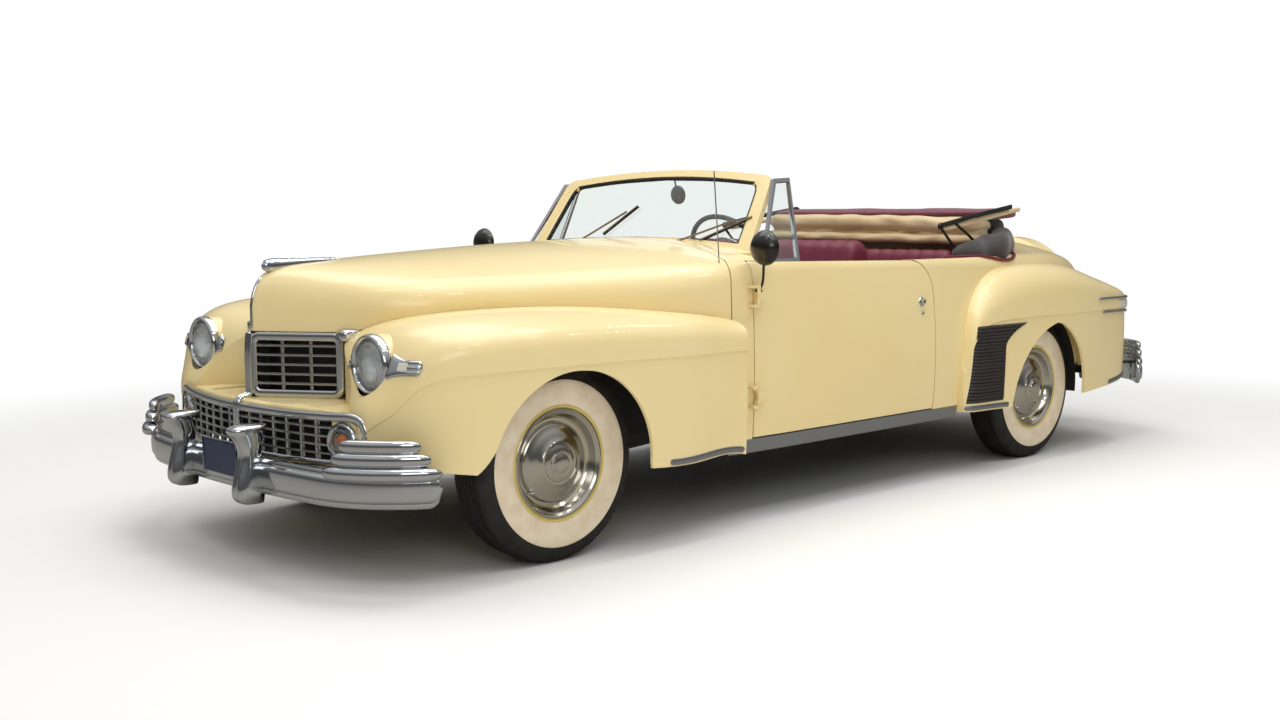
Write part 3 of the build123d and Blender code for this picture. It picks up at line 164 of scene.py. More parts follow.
def stripes(tree, axis, millimetres):
    """Height of round ribs: the absolute sine of an Object coordinate, one rib per given length."""
    place = add_node(tree, "ShaderNodeTexCoord").outputs["Object"]
    parts = add_node(tree, "ShaderNodeSeparateXYZ", None, {0: place})
    turn = add_node(tree, "ShaderNodeMath", {"operation": "MULTIPLY"},
        {0: parts.outputs[axis], 1: np.pi * 1000.0 / millimetres})
    wave = add_node(tree, "ShaderNodeMath", {"operation": "SINE"}, {0: turn.outputs[0]})
    return add_node(tree, "ShaderNodeMath", {"operation": "ABSOLUTE"}, {0: wave.outputs[0]}).outputs[0]


def make_materials(colours):
    """Every finish of the car, named for what it is."""
    cream = tuple(colours.paint) + (1.0,)
    # Alkyd enamel over steel, rubbed and polished: soft depth under a clear glossy skin.
    tree, shader = new_material("cream enamel", cream, 0.34, Coat_Weight=0.55, Coat_Roughness=0.06)
    mottle(tree, shader, cream, linear("#EDD188"), 900.0, 0.35)
    # The same enamel on the pressed wheels, a little more yellow.
    new_material("wheel enamel", tuple(colours.wheel_paint) + (1.0,), 0.3, Coat_Weight=0.4)
    # Decorative chrome plate on steel and die-cast zinc: mirror with a very slight haze.
    new_material("chrome plate", linear("#C9CCCF"), 0.09, 1.0)
    # Aged plating on the grille castings: greyer and more diffuse.
    tree, shader = new_material("satin plate", linear("#B4B6B6"), 0.24, 1.0)
    grain(tree, shader, 6.0, 0.04)
    # Polished stainless pressing: warm mirror.
    new_material("stainless steel", linear("#C6C2B8"), 0.14, 1.0)
    # Extruded aluminium trim along the sills: dull and pale.
    new_material("satin aluminium", linear("#9FA3A8"), 0.36, 1.0)
    # Tyre rubber: matt black with a dusty bloom.
    tree, shader = new_material("tyre rubber", linear("#1B1A19"), 0.72)
    mottle(tree, shader, linear("#1B1A19"), linear("#302C28"), 60.0, 0.6)
    # White sidewall rubber, yellowed with age.
    whitewall = tuple(colours.whitewall) + (1.0,)
    tree, shader = new_material("white sidewall rubber", whitewall, 0.55)
    mottle(tree, shader, whitewall, linear("#D3BD97"), 70.0, 0.5)
    # Moulded rubber guard with a rib every 16 mm.
    tree, shader = new_material("ribbed rubber", linear("#2B2725"), 0.5)
    relief(tree, shader, stripes(tree, "Z", 16.0), 4.0)
    # Extruded rubber for seals and blades.
    new_material("seal rubber", linear("#1D1C1B"), 0.6)
    # Hide with a fine pebble grain, dyed maroon.
    leather = tuple(colours.leather) + (1.0,)
    tree, shader = new_material("maroon leather", leather, 0.42, Specular_IOR_Level=0.45)
    grain(tree, shader, 2.2, 0.35, "ShaderNodeTexVoronoi")
    # Canvas lining of the top: woven threads 1.6 mm apart, drawn coarser than real so that they show.
    tree, shader = new_material("tan canvas", linear("#DCC49B"), 0.85, Sheen_Weight=0.25)
    mottle(tree, shader, linear("#DCC49B"), linear("#C9A877"), 160.0, 0.55)
    grain(tree, shader, 3.0, 0.3)
    # Rubberised outer cloth of the top, dark grey.
    tree, shader = new_material("black top cloth", linear("#35312F"), 0.8, Sheen_Weight=0.3)
    mottle(tree, shader, linear("#35312F"), linear("#4A4542"), 120.0, 0.6)
    grain(tree, shader, 3.0, 0.3)
    # Maroon outer cloth of the top.
    tree, shader = new_material("maroon top cloth", linear("#6A2036"), 0.8, Sheen_Weight=0.3)
    mottle(tree, shader, linear("#6A2036"), linear("#7C3146"), 120.0, 0.5)
    grain(tree, shader, 3.0, 0.3)
    # Cut-pile carpet.
    tree, shader = new_material("maroon carpet", linear("#4A1220"), 0.95, Sheen_Weight=0.4)
    grain(tree, shader, 4.0, 1.2)
    # Toughened clear glass with a faint green edge.
    new_material("window glass", linear("#EEF4F1"), 0.0, IOR=1.5, Transmission_Weight=1.0)
    # Pressed lamp glass: clear with upright flutes 7 mm apart.
    tree, shader = new_material("fluted glass", linear("#F2F4F2"), 0.03, IOR=1.5, Transmission_Weight=0.92)
    relief(tree, shader, stripes(tree, "Y", 7.0), 1.2)
    # Red pressed glass of the rear lamps.
    new_material("red glass", linear("#8E0D10"), 0.12, Coat_Weight=0.5)
    # Pale pressed lens of the lamp on each wing.
    new_material("lamp card", linear("#D8D2C0"), 0.25, Coat_Weight=0.4)
    # Amber colour on the bulbs behind the side lamps: a painted glow that stands in for their orange light;
    # the bulbs give off no light.
    new_material("painted amber glow", linear("#C4662A"), 0.2, Coat_Weight=0.4)
    # Silvered glass of the mirrors.
    new_material("silvered glass", linear("#DADDE0"), 0.02, 1.0)
    # Gloss black enamel on mirror heads and brackets.
    new_material("black enamel", linear("#17140F"), 0.2, Coat_Weight=0.3)
    # Chassis black, brushed on and dusty.
    new_material("chassis black", linear("#1E1D1C"), 0.6)
    # Bitumen undercoat.
    tree, shader = new_material("undercoat", linear("#262422"), 0.85)
    grain(tree, shader, 8.0, 0.8)
    # Forged and machined axle steel.
    tree, shader = new_material("forged steel", linear("#4A4845"), 0.5, 0.9)
    grain(tree, shader, 3.0, 0.1)
    # Engine block enamel over cast iron.
    tree, shader = new_material("engine enamel", linear("#46544C"), 0.5)
    grain(tree, shader, 4.0, 0.3)
    # Aluminised exhaust pipe, dulled by heat.
    new_material("exhaust steel", linear("#6F6962"), 0.5, 0.8)
    # Thermoset plastic of the steering wheel.
    new_material("dark plastic", linear("#2A241E"), 0.25, Coat_Weight=0.2)
    # Enamelled dash with a brown metallic tint.
    new_material("dash enamel", linear("#5A2A2E"), 0.3, Coat_Weight=0.4)
    # Pale instrument faces.
    new_material("dial card", linear("#D9CDAE"), 0.6)
    # Plate blank in deep blue enamel.
    new_material("blue plate enamel", linear("#1B2A4A"), 0.35)
    # Weathered brass on the wiper arms.
    new_material("wiper metal", linear("#8E7F68"), 0.35, 0.9)


# Shapes: each is a pair of an (n, 3) array of points and a list of faces


def grid(points, close_rows=False, close_columns=False, caps=False):
    """Skin over a grid of points: each cell between two rows and two columns is a face."""
    points = np.asarray(points, float)
    rows, columns = points.shape[:2]
    i = np.arange(rows if close_rows else rows - 1)
    j = np.arange(columns if close_columns else columns - 1)
    i, j = (a.ravel() for a in np.meshgrid(i, j, indexing="ij"))
    k, m = (i + 1) % rows, (j + 1) % columns
    faces = np.stack([i * columns + j, i * columns + m, k * columns + m, k * columns + j], -1).tolist()
    if caps:
        faces.append(list(range(columns))[::-1])
        faces.append(list(range((rows - 1) * columns, rows * columns)))
    return points.reshape(-1, 3), faces


def mirrored(shape):
    """The same shape on the car's other side: y changes sign and the faces turn round."""
    points, faces = shape
    return points * (1, -1, 1), [face[::-1] for face in faces]


def both(*shapes):
    return [*shapes, *[mirrored(s) for s in shapes]]


def curve_through(points, steps):
    """Smooth line through points: a Catmull-Rom cubic between each two, from their neighbours."""
    p = np.asarray(points, float)
    p = np.vstack([2 * p[0] - p[1], p, 2 * p[-1] - p[-2]])
    t = np.linspace(0, len(points) - 1, steps)
    i = np.minimum(t.astype(int), len(points) - 2)
    u = (t - i)[:, None]
    a, b, c, d = p[i], p[i + 1], p[i + 2], p[i + 3]
    return 0.5 * (2 * b + (c - a) * u + (2 * a - 5 * b + 4 * c - d) * u**2 + (3 * b - a - 3 * c + d) * u**3)


def turned(profile, centre, axis, steps=96, closed=False):
    """Surface of revolution: (radius, along) pairs carried round an axis through centre."""
    profile = np.asarray(profile, float)
    axis = np.asarray(axis, float) / np.linalg.norm(axis)
    helper = (0, 0, 1) if abs(axis[2]) < 0.9 else (1, 0, 0)
    first = np.cross(axis, helper)
    first /= np.linalg.norm(first)
    second = np.cross(axis, first)
    angle = np.linspace(0, 2 * np.pi, steps, endpoint=False)
    ring = np.cos(angle)[:, None] * first + np.sin(angle)[:, None] * second
    points = np.asarray(centre) + profile[None, :, 0, None] * ring[:, None] + profile[None, :, 1,
        None] * axis
    return grid(points, close_rows=True, close_columns=closed)


def carried(path, section, up=(0, 0, 1), closed=False, size=None):
    """Section of (side, up) pairs carried along a path; size scales it at each station."""
    path, section, up = np.asarray(path, float), np.asarray(section, float), np.asarray(up, float)
    along = np.gradient(path, axis=0)
    if closed:
        along = np.roll(path, -1, 0) - np.roll(path, 1, 0)
    along /= np.linalg.norm(along, axis=1)[:, None]
    side = np.cross(along, np.broadcast_to(up, along.shape))
    side /= np.linalg.norm(side, axis=1)[:, None]
    top = np.cross(side, along)
    scale = np.ones((len(path), 2)) if size is None else np.broadcast_to(np.asarray(size,
        float).reshape(len(path), -1), (len(path), 2))
    offsets = section[None] * scale[:, None]
    points = path[:, None] + offsets[..., :1] * side[:, None] + offsets[..., 1:] * top[:, None]
    return grid(points, close_rows=closed, close_columns=True, caps=not closed)


def round_section(half_width, half_height, power=2.0, steps=16):
    """Superellipse: cosine and sine raised to 2 / power, so 2 is an ellipse and more is squarer."""
    angle = np.linspace(0, 2 * np.pi, steps, endpoint=False)
    c, s = np.cos(angle), np.sin(angle)
    shape = [np.sign(c) * np.abs(c) ** (2 / power) * half_width,
        np.sign(s) * np.abs(s) ** (2 / power) * half_height]
    return np.stack(shape, -1)


def tube(points, radius, steps=12, smooth=None, up=(0.13, 0.21, 0.97)):
    """Round bar along a line of points, smoothed through them where smooth is a count."""
    path = curve_through(points, smooth) if smooth else np.asarray(points, float)
    return carried(path, round_section(radius, radius, 2.0, steps), up)


def pebble(centre, half, power=6.0, rows=17, columns=32, change=None):
    """Superellipsoid block: a ball's directions, squared off by power and stretched to half sizes."""
    lat = np.linspace(-np.pi / 2, np.pi / 2, rows)[:, None]
    lon = np.linspace(0, 2 * np.pi, columns, endpoint=False)[None, :]
    d = np.stack([np.cos(lat) * np.cos(lon), np.cos(lat) * np.sin(lon),
        np.sin(lat) * np.ones_like(lon)], -1)
    reach = (np.abs(d) ** power).sum(-1, keepdims=True) ** (-1 / power)
    unit = d * reach
    points = unit * np.asarray(half) if change is None else change(unit) * np.asarray(half)
    return grid(points + np.asarray(centre), close_columns=True)


def mix_in(build, shapes, index):
    for points, faces in shapes:
        start = len(build["points"])
        build["points"].extend((np.asarray(points) + (AXLE_X, 0, 0)) / 1000.0)
        build["faces"].extend([[start + v for v in face] for face in faces])
        build["index"].extend([index] * len(faces))


def piece(name, body, finishes, sharp=32.0, replaces=()):
    """Makes one object of the shapes under each finish, merges doubles, turns faces outwards and
    shades it smooth."""
    build = {"points": [], "faces": [], "index": []}
    for index, shapes in enumerate(finishes.values()):
        mix_in(build, shapes, index)
    mesh = bpy.data.meshes.new(name)
    mesh.from_pydata([tuple(p) for p in build["points"]], [], build["faces"])
    for finish in finishes:
        mesh.materials.append(MATERIALS[finish])
    mesh.polygons.foreach_set("material_index", build["index"])
    form = bmesh.new()
    form.from_mesh(mesh)
    bmesh.ops.remove_doubles(form, verts=form.verts, dist=2e-6)
    bmesh.ops.dissolve_degenerate(form, edges=form.edges, dist=1e-7)
    bmesh.ops.recalc_face_normals(form, faces=form.faces)
    limit = np.radians(sharp)
    for edge in form.edges:
        edge.smooth = len(edge.link_faces) == 2 and edge.calc_face_angle(0.0) < limit
    for face in form.faces:
        face.smooth = True
    form.to_mesh(mesh)
    form.free()
    thing = bpy.data.objects.new(name, mesh)
    bpy.context.scene.collection.objects.link(thing)
    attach(thing, body)
    if replaces:
        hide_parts(*replaces)
    return thing


# Points on the frame's panels


def skin_of(*nodes):
    """Search tree over the meshes of some CAD nodes, in metres."""
    points, faces = [], []
    for name in nodes:
        mesh = frame["nodes"][name].data
        start = len(points)
        points.extend(v.co.copy() for v in mesh.vertices)
        faces.extend([start + v for v in p.vertices] for p in mesh.polygons)
    return BVHTree.FromPolygons(points, faces)


def hits(tree, starts, directions, lift=0.0):
    """Where rays from starts meet a skin, lifted off it by some millimetres along its normal."""
    starts = (np.asarray(starts, float) + (AXLE_X, 0, 0)) / 1000.0
    directions = np.broadcast_to(np.asarray(directions, float), starts.shape)
    found = []
    for start, direction in zip(starts, directions):
        point, normal, _, _ = tree.ray_cast(Vector(start), Vector(direction))
        if point is None:
            continue
        away = normal if normal.dot(Vector(direction)) < 0 else -normal
        found.append(np.array(point) * 1000.0 - (AXLE_X, 0, 0) + lift * np.array(away))
    if len(found) < 2:
        raise RuntimeError("a line of points misses the panel that it lies on")
    return np.array(found)


# Tyres and wheels


def tyre_shapes(x, y, sizes):
    """Tyre as rings of points round the axle; across it the radius follows the profile, less square grooves
    in the tread and a square wave of small flutes on the shoulders."""
    out = 1 if y > 0 else -1
    r = 366.0
    side = [(194, 60), (204, 72), (212, 82), (224, 87.6), (232, 89.5), (262, 94), (290, 94.6),
        (302, 93.6), (305, 92), (312, 91)]
    shoulder = [(330, 86), (346, 78), (356, 71), (360, 67)]
    tread = []
    for edge in (60, 42, 24, 6):
        crown = r - 5.0 * (edge / 68.0) ** 2
        deep = crown - sizes.groove_depth
        tread += [(crown, edge), (crown, edge - 12), (deep, edge - 13), (deep, edge - 17)]
    tread = tread[:-2]
    half = side + shoulder + tread
    profile = np.array(half + [(a, -b) for a, b in half[::-1]])
    count = 2 * sizes.flutes
    angle = np.arange(count * 2) * np.pi / count
    flute = ((np.arange(count * 2) // 2) % 2).astype(float)
    on_shoulder = ((profile[:, 0] > 318) & (np.abs(profile[:, 1]) > 62)).astype(float)
    radius = profile[None, :, 0] - flute[:, None] * on_shoulder[None] * 2.2
    points = np.stack(
        [
            x + radius * np.cos(angle)[:, None],
            y + out * np.broadcast_to(profile[None, :, 1], radius.shape),
            HUB_Z + radius * np.sin(angle)[:, None],
        ],
        -1,
    )
    points, faces = grid(points, close_rows=True, close_columns=True)
    columns = len(profile)
    near = np.array([min(f) % columns for f in faces])
    far = np.array([max(v % columns for v in f) for f in faces])
    white = [(2 <= a and b <= 8) for a, b in zip(near, far)]
    pale = [f for f, w_ in zip(faces, white) if w_]
    dark = [f for f, w_ in zip(faces, white) if not w_]
    return (points, dark), (points, pale)


def hubcap_shapes(x, y):
    """Stepped dome of the hubcap and the rolled outer ring, turned about the axle."""
    out = 1 if y > 0 else -1
    cap = [(0, 101), (14, 100.6), (27, 99), (35, 96), (37, 93), (46, 92.4), (48, 90), (52, 89.6),
        (61, 87), (68, 84.6), (70, 81), (79, 80),
           (82, 77.4), (101, 72.4), (120, 64), (132, 58), (139, 56.6), (145, 54), (149, 49),
               (150, 41.5), (141, 44), (68, 70), (0, 82)]
    ring = [(206, 74.6), (205, 79), (201, 83), (196, 84.2), (190, 81.5), (186, 76.4), (181, 74),
        (176, 62), (169, 50.5), (171, 49), (178, 60),
            (184, 72), (188, 74.6), (200, 79), (203, 74.4)]
    groove = [(172, 53), (160, 43.4), (149, 42.2), (149, 41.2), (160, 42.0), (172, 50.6)]
    flange = [(203, 80), (206, 85), (210, 86.5), (213, 84), (213, 80), (208, 77)]
    axis = (0, out, 0)
    centre = (x, y, HUB_Z)
    return (turned(cap, centre, axis),
        *(turned(a, centre, axis, closed=True) for a in (ring, groove, flange)))


class TouringColours(bpy.types.PropertyGroup):
    paint: FloatVectorProperty(name="Paint", description="Body enamel", subtype="COLOR", size=3, min=0,
        max=1, default=linear("#F5E0A6")[:3])
    wheel_paint: FloatVectorProperty(name="Wheels", description="Wheel enamel", subtype="COLOR", size=3,
        min=0, max=1, default=linear("#D9C468")[:3])
    whitewall: FloatVectorProperty(name="Sidewalls", description="White sidewall rubber",
        subtype="COLOR", size=3, min=0, max=1, default=linear("#EFE0C4")[:3])
    leather: FloatVectorProperty(name="Leather", description="Seats and linings", subtype="COLOR",
        size=3, min=0, max=1, default=linear("#6E1B33")[:3])


class TouringSizes(bpy.types.PropertyGroup):
    groove_depth: FloatProperty(name="Groove depth",
        description="Depth of the tread grooves in millimetres", default=6.0, min=1.0, max=9.0)
    flutes: IntProperty(name="Shoulder flutes", description="Flutes round each shoulder of a tyre",
        default=140, min=40, max=200)
    pleat: FloatProperty(name="Pleat width", description="Width of one seat pleat in millimetres",
        default=85.0, min=40.0, max=160.0)


class TOURING_OT_finishes(bpy.types.Operator):
    """Make the materials and give each part of the frame its own."""

    bl_idname = "touring.finishes"
    bl_label = "Frame finishes"

    SLOTS = {
        "frame_black": "chassis black",
        "axle_steel": "forged steel",
        "engine_paint": "engine enamel",
        "dull_steel": "exhaust steel",
        "body_paint": "cream enamel",
        "under_paint": "undercoat",
        "chrome": "chrome plate",
        "lamp_glass": "fluted glass",
        "red_glass": "red glass",
        "window_glass": "window glass",
        "tyre": "tyre rubber",
        "shield_rubber": "ribbed rubber",
        "seat_leather": "maroon leather",
        "dash_paint": "dash enamel",
        "wheel_plastic": "dark plastic",
        "top_cloth": "black top cloth",
        "blade_rubber": "seal rubber",
    }
    OWN = {
        "windshield_frame": "cream enamel",
        "headlight_bezels": "cream enamel",
        "sills": "satin aluminium",
        "mirror_left": "black enamel",
        "mirror_right": "black enamel",
        "lower_grille": "satin plate",
        "upper_grille": "chrome plate",
        "wipers": "wiper metal",
    }

    def execute(self, context):
        make_materials(context.scene.touring_colours)
        slots = {row["node"]: row["material_slot"] for row in frame["record"]["subparts"]}
        for name, node in frame["nodes"].items():
            finish = self.OWN.get(name, self.SLOTS[slots[name]])
            if name.startswith("wheel_") and not name.startswith("wheel_trim"):
                finish = "wheel enamel"
            node.data.materials.clear()
            node.data.materials.append(MATERIALS[finish])
        return {"FINISHED"}


class TOURING_OT_tyres(bpy.types.Operator):
    """Four wide whitewall tyres."""

    bl_idname = "touring.tyres"
    bl_label = "Tyres"

    def execute(self, context):
        for corner, (x, y) in CORNERS.items():
            dark, pale = tyre_shapes(x, y, context.scene.touring_sizes)
            finishes = {"tyre rubber": [dark], "white sidewall rubber": [pale]}
            piece(f"whitewall_{corner}", f"wheel_{corner}", finishes, 50.0, [f"tyre_{corner}"])
        return {"FINISHED"}


class TOURING_OT_wheel_trim(bpy.types.Operator):
    """Hubcaps, outer rings and valves."""

    bl_idname = "touring.wheel_trim"
    bl_label = "Wheel trim"

    def execute(self, context):
        for corner, (x, y) in CORNERS.items():
            cap, ring, groove, flange = hubcap_shapes(x, y)
            out = 1 if y > 0 else -1
            foot, tip = (x + 118, y + out * 44, HUB_Z - 100), (x + 112, y + out * 74, HUB_Z - 96)
            valve = tube([foot, tip], 4.0)
            finishes = {"stainless steel": [cap, ring, groove], "wheel enamel": [flange],
                "chrome plate": [valve]}
            piece(f"hubcap_{corner}", f"wheel_{corner}", finishes, 30.0, [f"wheel_trim_{corner}"])
        return {"FINISHED"}


# Bumpers


def rounded_ends(count, reach):
    """Scale of a section at each station: a quarter ellipse at both ends, as long as a share of the
    whole, 1 between."""
    t = np.linspace(0.0, 1.0, count)
    end = np.clip(np.minimum(t, 1.0 - t) / reach, 0.0, 1.0)
    return np.sqrt(np.maximum(1.0 - (1.0 - end) ** 2, 0.0)) * 0.97 + 0.03


def bumper_line(front, way, degrees, depth):
    """The bumper's plan: an arc of 4500 mm across the car and one of 480 mm round each end, less a
    depth behind
    its face. Returns x and y."""
    angle = np.radians(degrees)
    join = np.radians(7.152)
    wide = 4500.0 - depth
    tight = 480.0 - depth
    x = np.where(np.abs(angle) <= join, 4500.0 - wide * np.cos(angle), 511.3 - tight * np.cos(angle))
    y = np.where(np.abs(angle) <= join, wide * np.sin(angle),
        np.sign(angle) * (500.3 + tight * np.sin(np.abs(angle))))
    return front - way * x, y


def bumper_roll(front, way, degrees, section, ends):
    """A closed section of (depth, height) pairs carried round the bumper's plan and closed in at both
    ends."""
    section = np.asarray(section, float)
    middle = (section.max(0) + section.min(0)) / 2
    scale = rounded_ends(len(degrees), ends)[:, None]
    depth = middle[0] + (section[None, :, 0] - middle[0]) * scale
    height = middle[1] + (section[None, :, 1] - middle[1]) * scale
    x, y = bumper_line(front, way, np.asarray(degrees)[:, None] * np.ones_like(depth), depth)
    return grid(np.stack([x, y, height], -1), close_columns=True, caps=True)


def bumper_shapes(front, way, wrap, swell):
    """The bar with its two long steps, and three stacked tiers round each end."""
    spread = np.concatenate([np.linspace(-wrap, -7.2, 34), np.linspace(-7.0, 7.0, 40),
        np.linspace(7.2, wrap, 34)])
    bar = [(34, 303), (22, 300), (13, 303), (9, 310), (7.5, 318), (8, 322), (3, 325), (-1, 332),
        (-3, 345), (-3.6, 365), (-3, 385), (-1, 398),
           (3, 405), (8, 408), (7.5, 412), (9, 420), (13, 427), (22, 430), (34, 427)]
    shapes = [bumper_roll(front, way, spread, bar, 0.03)]
    for start, end, low, high, depth in ((16.5, wrap, 396, 446, -36), (20.0, wrap - 4, 441, 491, -22),
        (23.0, wrap - 8, 485, 532, -8)):
        depth = depth * swell + 6.0 * (1.0 - swell)
        half = (high - low) / 2
        section = round_section((34 - depth) / 2, half, 2.6, 28) + ((34 + depth) / 2, (low + high) / 2)
        tier = bumper_roll(front, way, np.linspace(start, end, 44), section, 0.16)
        shapes += both(tier)
    return shapes


def guard_shape(front, way, y, top, bulge=1.0):
    """Upright guard: rows of squared ovals whose nose, back and width follow curves through a few heights."""
    rows = [(266, 30, -34, 30), (274, 52, -38, 36), (292, 68, -40, 42), (318, 70, -40, 44),
        (352, 64, -38, 42), (392, 54, -36, 38), (430, 46, -34, 34),
            (462, 48, -34, 33), (492, 62, -38, 38), (top - 16, 84, -46, 43), (top, 84, -56, 42),
            (top + 9, 66, -56, 34), (top + 12, 44, -46, 22)]
    z, nose, back, half = curve_through(rows, 60).T
    scale = rounded_ends(len(z), 0.05)
    middle, reach = (nose * bulge + back) / 2, (nose * bulge - back) / 2
    angle = np.linspace(0, 2 * np.pi, 32, endpoint=False)
    c, s = np.cos(angle), np.sin(angle)
    oval = np.stack([np.sign(c) * np.abs(c) ** 0.7, np.sign(s) * np.abs(s) ** 0.8], -1)
    x = front + way * (middle[:, None] + reach[:, None] * scale[:, None] * oval[None, :, 0])
    # A shallow upright channel down the nose.
    channel = 7.0 * np.exp(-((oval[None, :, 1] / 0.32) ** 2)) * (oval[None, :, 0] > 0) * scale[:, None]
    x = x - way * channel
    points = np.stack([x, y + half[:, None] * scale[:, None] * oval[None, :, 1],
        np.broadcast_to(z[:, None], x.shape)], -1)
    return grid(points, close_columns=True, caps=True)


class TOURING_OT_bumpers(bpy.types.Operator):
    """Chrome bumpers with stepped bars, tall guards and stacked corner guards, and the blank plate."""

    bl_idname = "touring.bumpers"
    bl_label = "Bumpers"

    def execute(self, context):
        front, rear = 905.0, -4490.0
        guards = both(guard_shape(front, 1, 247.0, 534.0))
        irons = both(tube([(front - 30, 340, 359), (640, 340, 359)], 9.0))
        shapes = bumper_shapes(front, 1, 66.0, 1.0)
        # Blank plate on its bracket between the guards, 250 by 123 mm.
        plate = pebble((front + 3, 25.0, 407.0), (2.5, 125.0, 61.0), 14.0)
        rim = tube([(front + 6, -98, 347), (front + 6, 148, 347), (front + 6, 148, 467),
            (front + 6, -98, 467), (front + 6, -98, 347)], 3.0, 8)
        finishes = {"chrome plate": [*shapes, *guards, rim], "blue plate enamel": [plate],
            "chassis black": irons}
        piece("front_bumper_chrome", "root", finishes, 34.0, ["front_bumper"])
        guards = both(guard_shape(rear, -1, 430.0, 550.0, 0.5))
        irons = both(tube([(rear + 30, 340, 359), (-4160, 340, 359)], 9.0))
        finishes = {"chrome plate": [*bumper_shapes(rear, -1, 66.0, 0.2), *guards], "chassis black": irons}
        piece("rear_bumper_chrome", "root", finishes, 34.0, ["rear_bumper"])
        return {"FINISHED"}


# Lamps and grille


def draped(tree, starts, direction, lift):
    """Grid of points laid on a skin: each start is carried along a direction to it and lifted off it."""
    starts = np.asarray(starts, float)
    flat = starts.reshape(-1, 3)
    found = []
    lifts = np.broadcast_to(np.asarray(lift, float), starts.shape[:-1]).ravel()
    for start, rise in zip(flat, lifts):
        point, normal, _, _ = tree.ray_cast(Vector((start + (AXLE_X, 0, 0)) / 1000.0), Vector(direction))
        if point is None:
            raise RuntimeError(f"nothing under the trim at {start}")
        away = normal if normal.dot(Vector(direction)) < 0 else -normal
        found.append(np.array(point) * 1000.0 - (AXLE_X, 0, 0) + rise * np.array(away))
    return np.array(found).reshape(starts.shape)


def wing_shape(tree, y_from, y_to, z, half_from, half_to, thick, ribs, power=6.0):
    """Raised pad on the fender beside a lamp: thickness falls to its edge as one minus a power of the
    distance
    from its middle line, plus ribs along it towards the tip."""
    u = np.linspace(0.0, 1.0, 26)[:, None]
    v = np.linspace(-1.0, 1.0, 25)[None, :]
    tip = np.sqrt(np.clip(1.0 - np.clip((u - 0.86) / 0.14, 0, 1) ** 2, 0, 1)) * 0.92 + 0.08
    waist = half_to + (half_from - half_to) * np.clip(1.0 - u / 0.5, 0.0, 1.0) ** 1.6
    half = waist * tip
    along = (y_from + (y_to - y_from) * u) * np.ones_like(v)
    starts = np.stack([np.full(along.shape, 1000.0), along, z + half * v], -1)
    edge = (1.0 - np.abs(v) ** power) * (1.0 - np.clip((u - 0.9) / 0.1, 0, 1) ** 2)
    ridge = ribs * np.abs(np.sin(1.5 * np.pi * (v + 1.0))) * np.clip((u - 0.55) / 0.1, 0, 1) * edge
    return grid(draped(tree, starts, (-1, 0, 0), edge * thick - 1.5 + ridge))


class TOURING_OT_lamps(bpy.types.Operator):
    """Headlight rims, reflectors and side wings, and the round bowls of the side lamps."""

    bl_idname = "touring.lamps"
    bl_label = "Lamps"

    def execute(self, context):
        x, y, z = 644.0, 605.0, 757.0
        rim = [(86, -4), (87, 5), (90, 11), (94, 14), (99, 13), (103, 9), (106, 2), (107, -10),
            (106, -18), (103, -18), (102, -8), (96, 2), (90, 0)]
        reflector = [(87, -7), (84, -20), (72, -40), (50, -58), (26, -68), (0, -72)]
        bulb = [(0, -28), (8, -30), (13, -38), (14, -46), (10, -58), (8, -70)]
        rims = both(turned(rim, (x, y, z), (1, 0, 0), 96, True))
        glow = both(turned(reflector, (x, y, z), (1, 0, 0)), turned(bulb, (x, y, z), (1, 0, 0), 32))
        skin = skin_of("front_fenders", "headlight_bezels", "front_apron")
        outer = wing_shape(skin, 711.5, 838.0, 757.0, 44.0, 28.0, 9.0, 4.0)
        inner = wing_shape(skin, 498.0, 462.0, 757.0, 42.0, 28.0, 10.0, 4.0)
        wings = both(outer, inner)
        lens = wing_shape(skin, 756.0, 794.0, 757.0, 15.0, 15.0, 14.0, 0.0, 10.0)
        finishes = {"chrome plate": rims + wings, "silvered glass": glow, "lamp card": both(lens)}
        piece("headlight_trim", "root", finishes, 34.0)
        pivot, reach = 811.0 - 1958.0, 1958.0
        turn = 568.0 / reach
        way = np.array((np.cos(turn), np.sin(turn), 0.0))
        centre = np.array((pivot, 0, 498.0)) + way * (reach + 2)
        bowl = [(44, 2), (47, 10), (53, 13), (60, 12), (66, 6), (68, -4), (64, -6), (58, 2), (50, 2)]
        rings = both(turned(bowl, centre, way, 72, True))
        cup = both(turned([(36.5, 9), (38, 12), (45, 10), (46, -2), (37, -4)], centre, way, 48, True))
        # The bulbs carry a painted amber glow; they are not lit.
        bulbs = both(turned([(0, 12), (10, 11), (20, 7), (27, 0)], centre, way, 40))
        finishes = {"chrome plate": rings, "satin plate": cup, "painted amber glow": bulbs}
        piece("side_lamps", "root", finishes, 34.0)
        return {"FINISHED"}


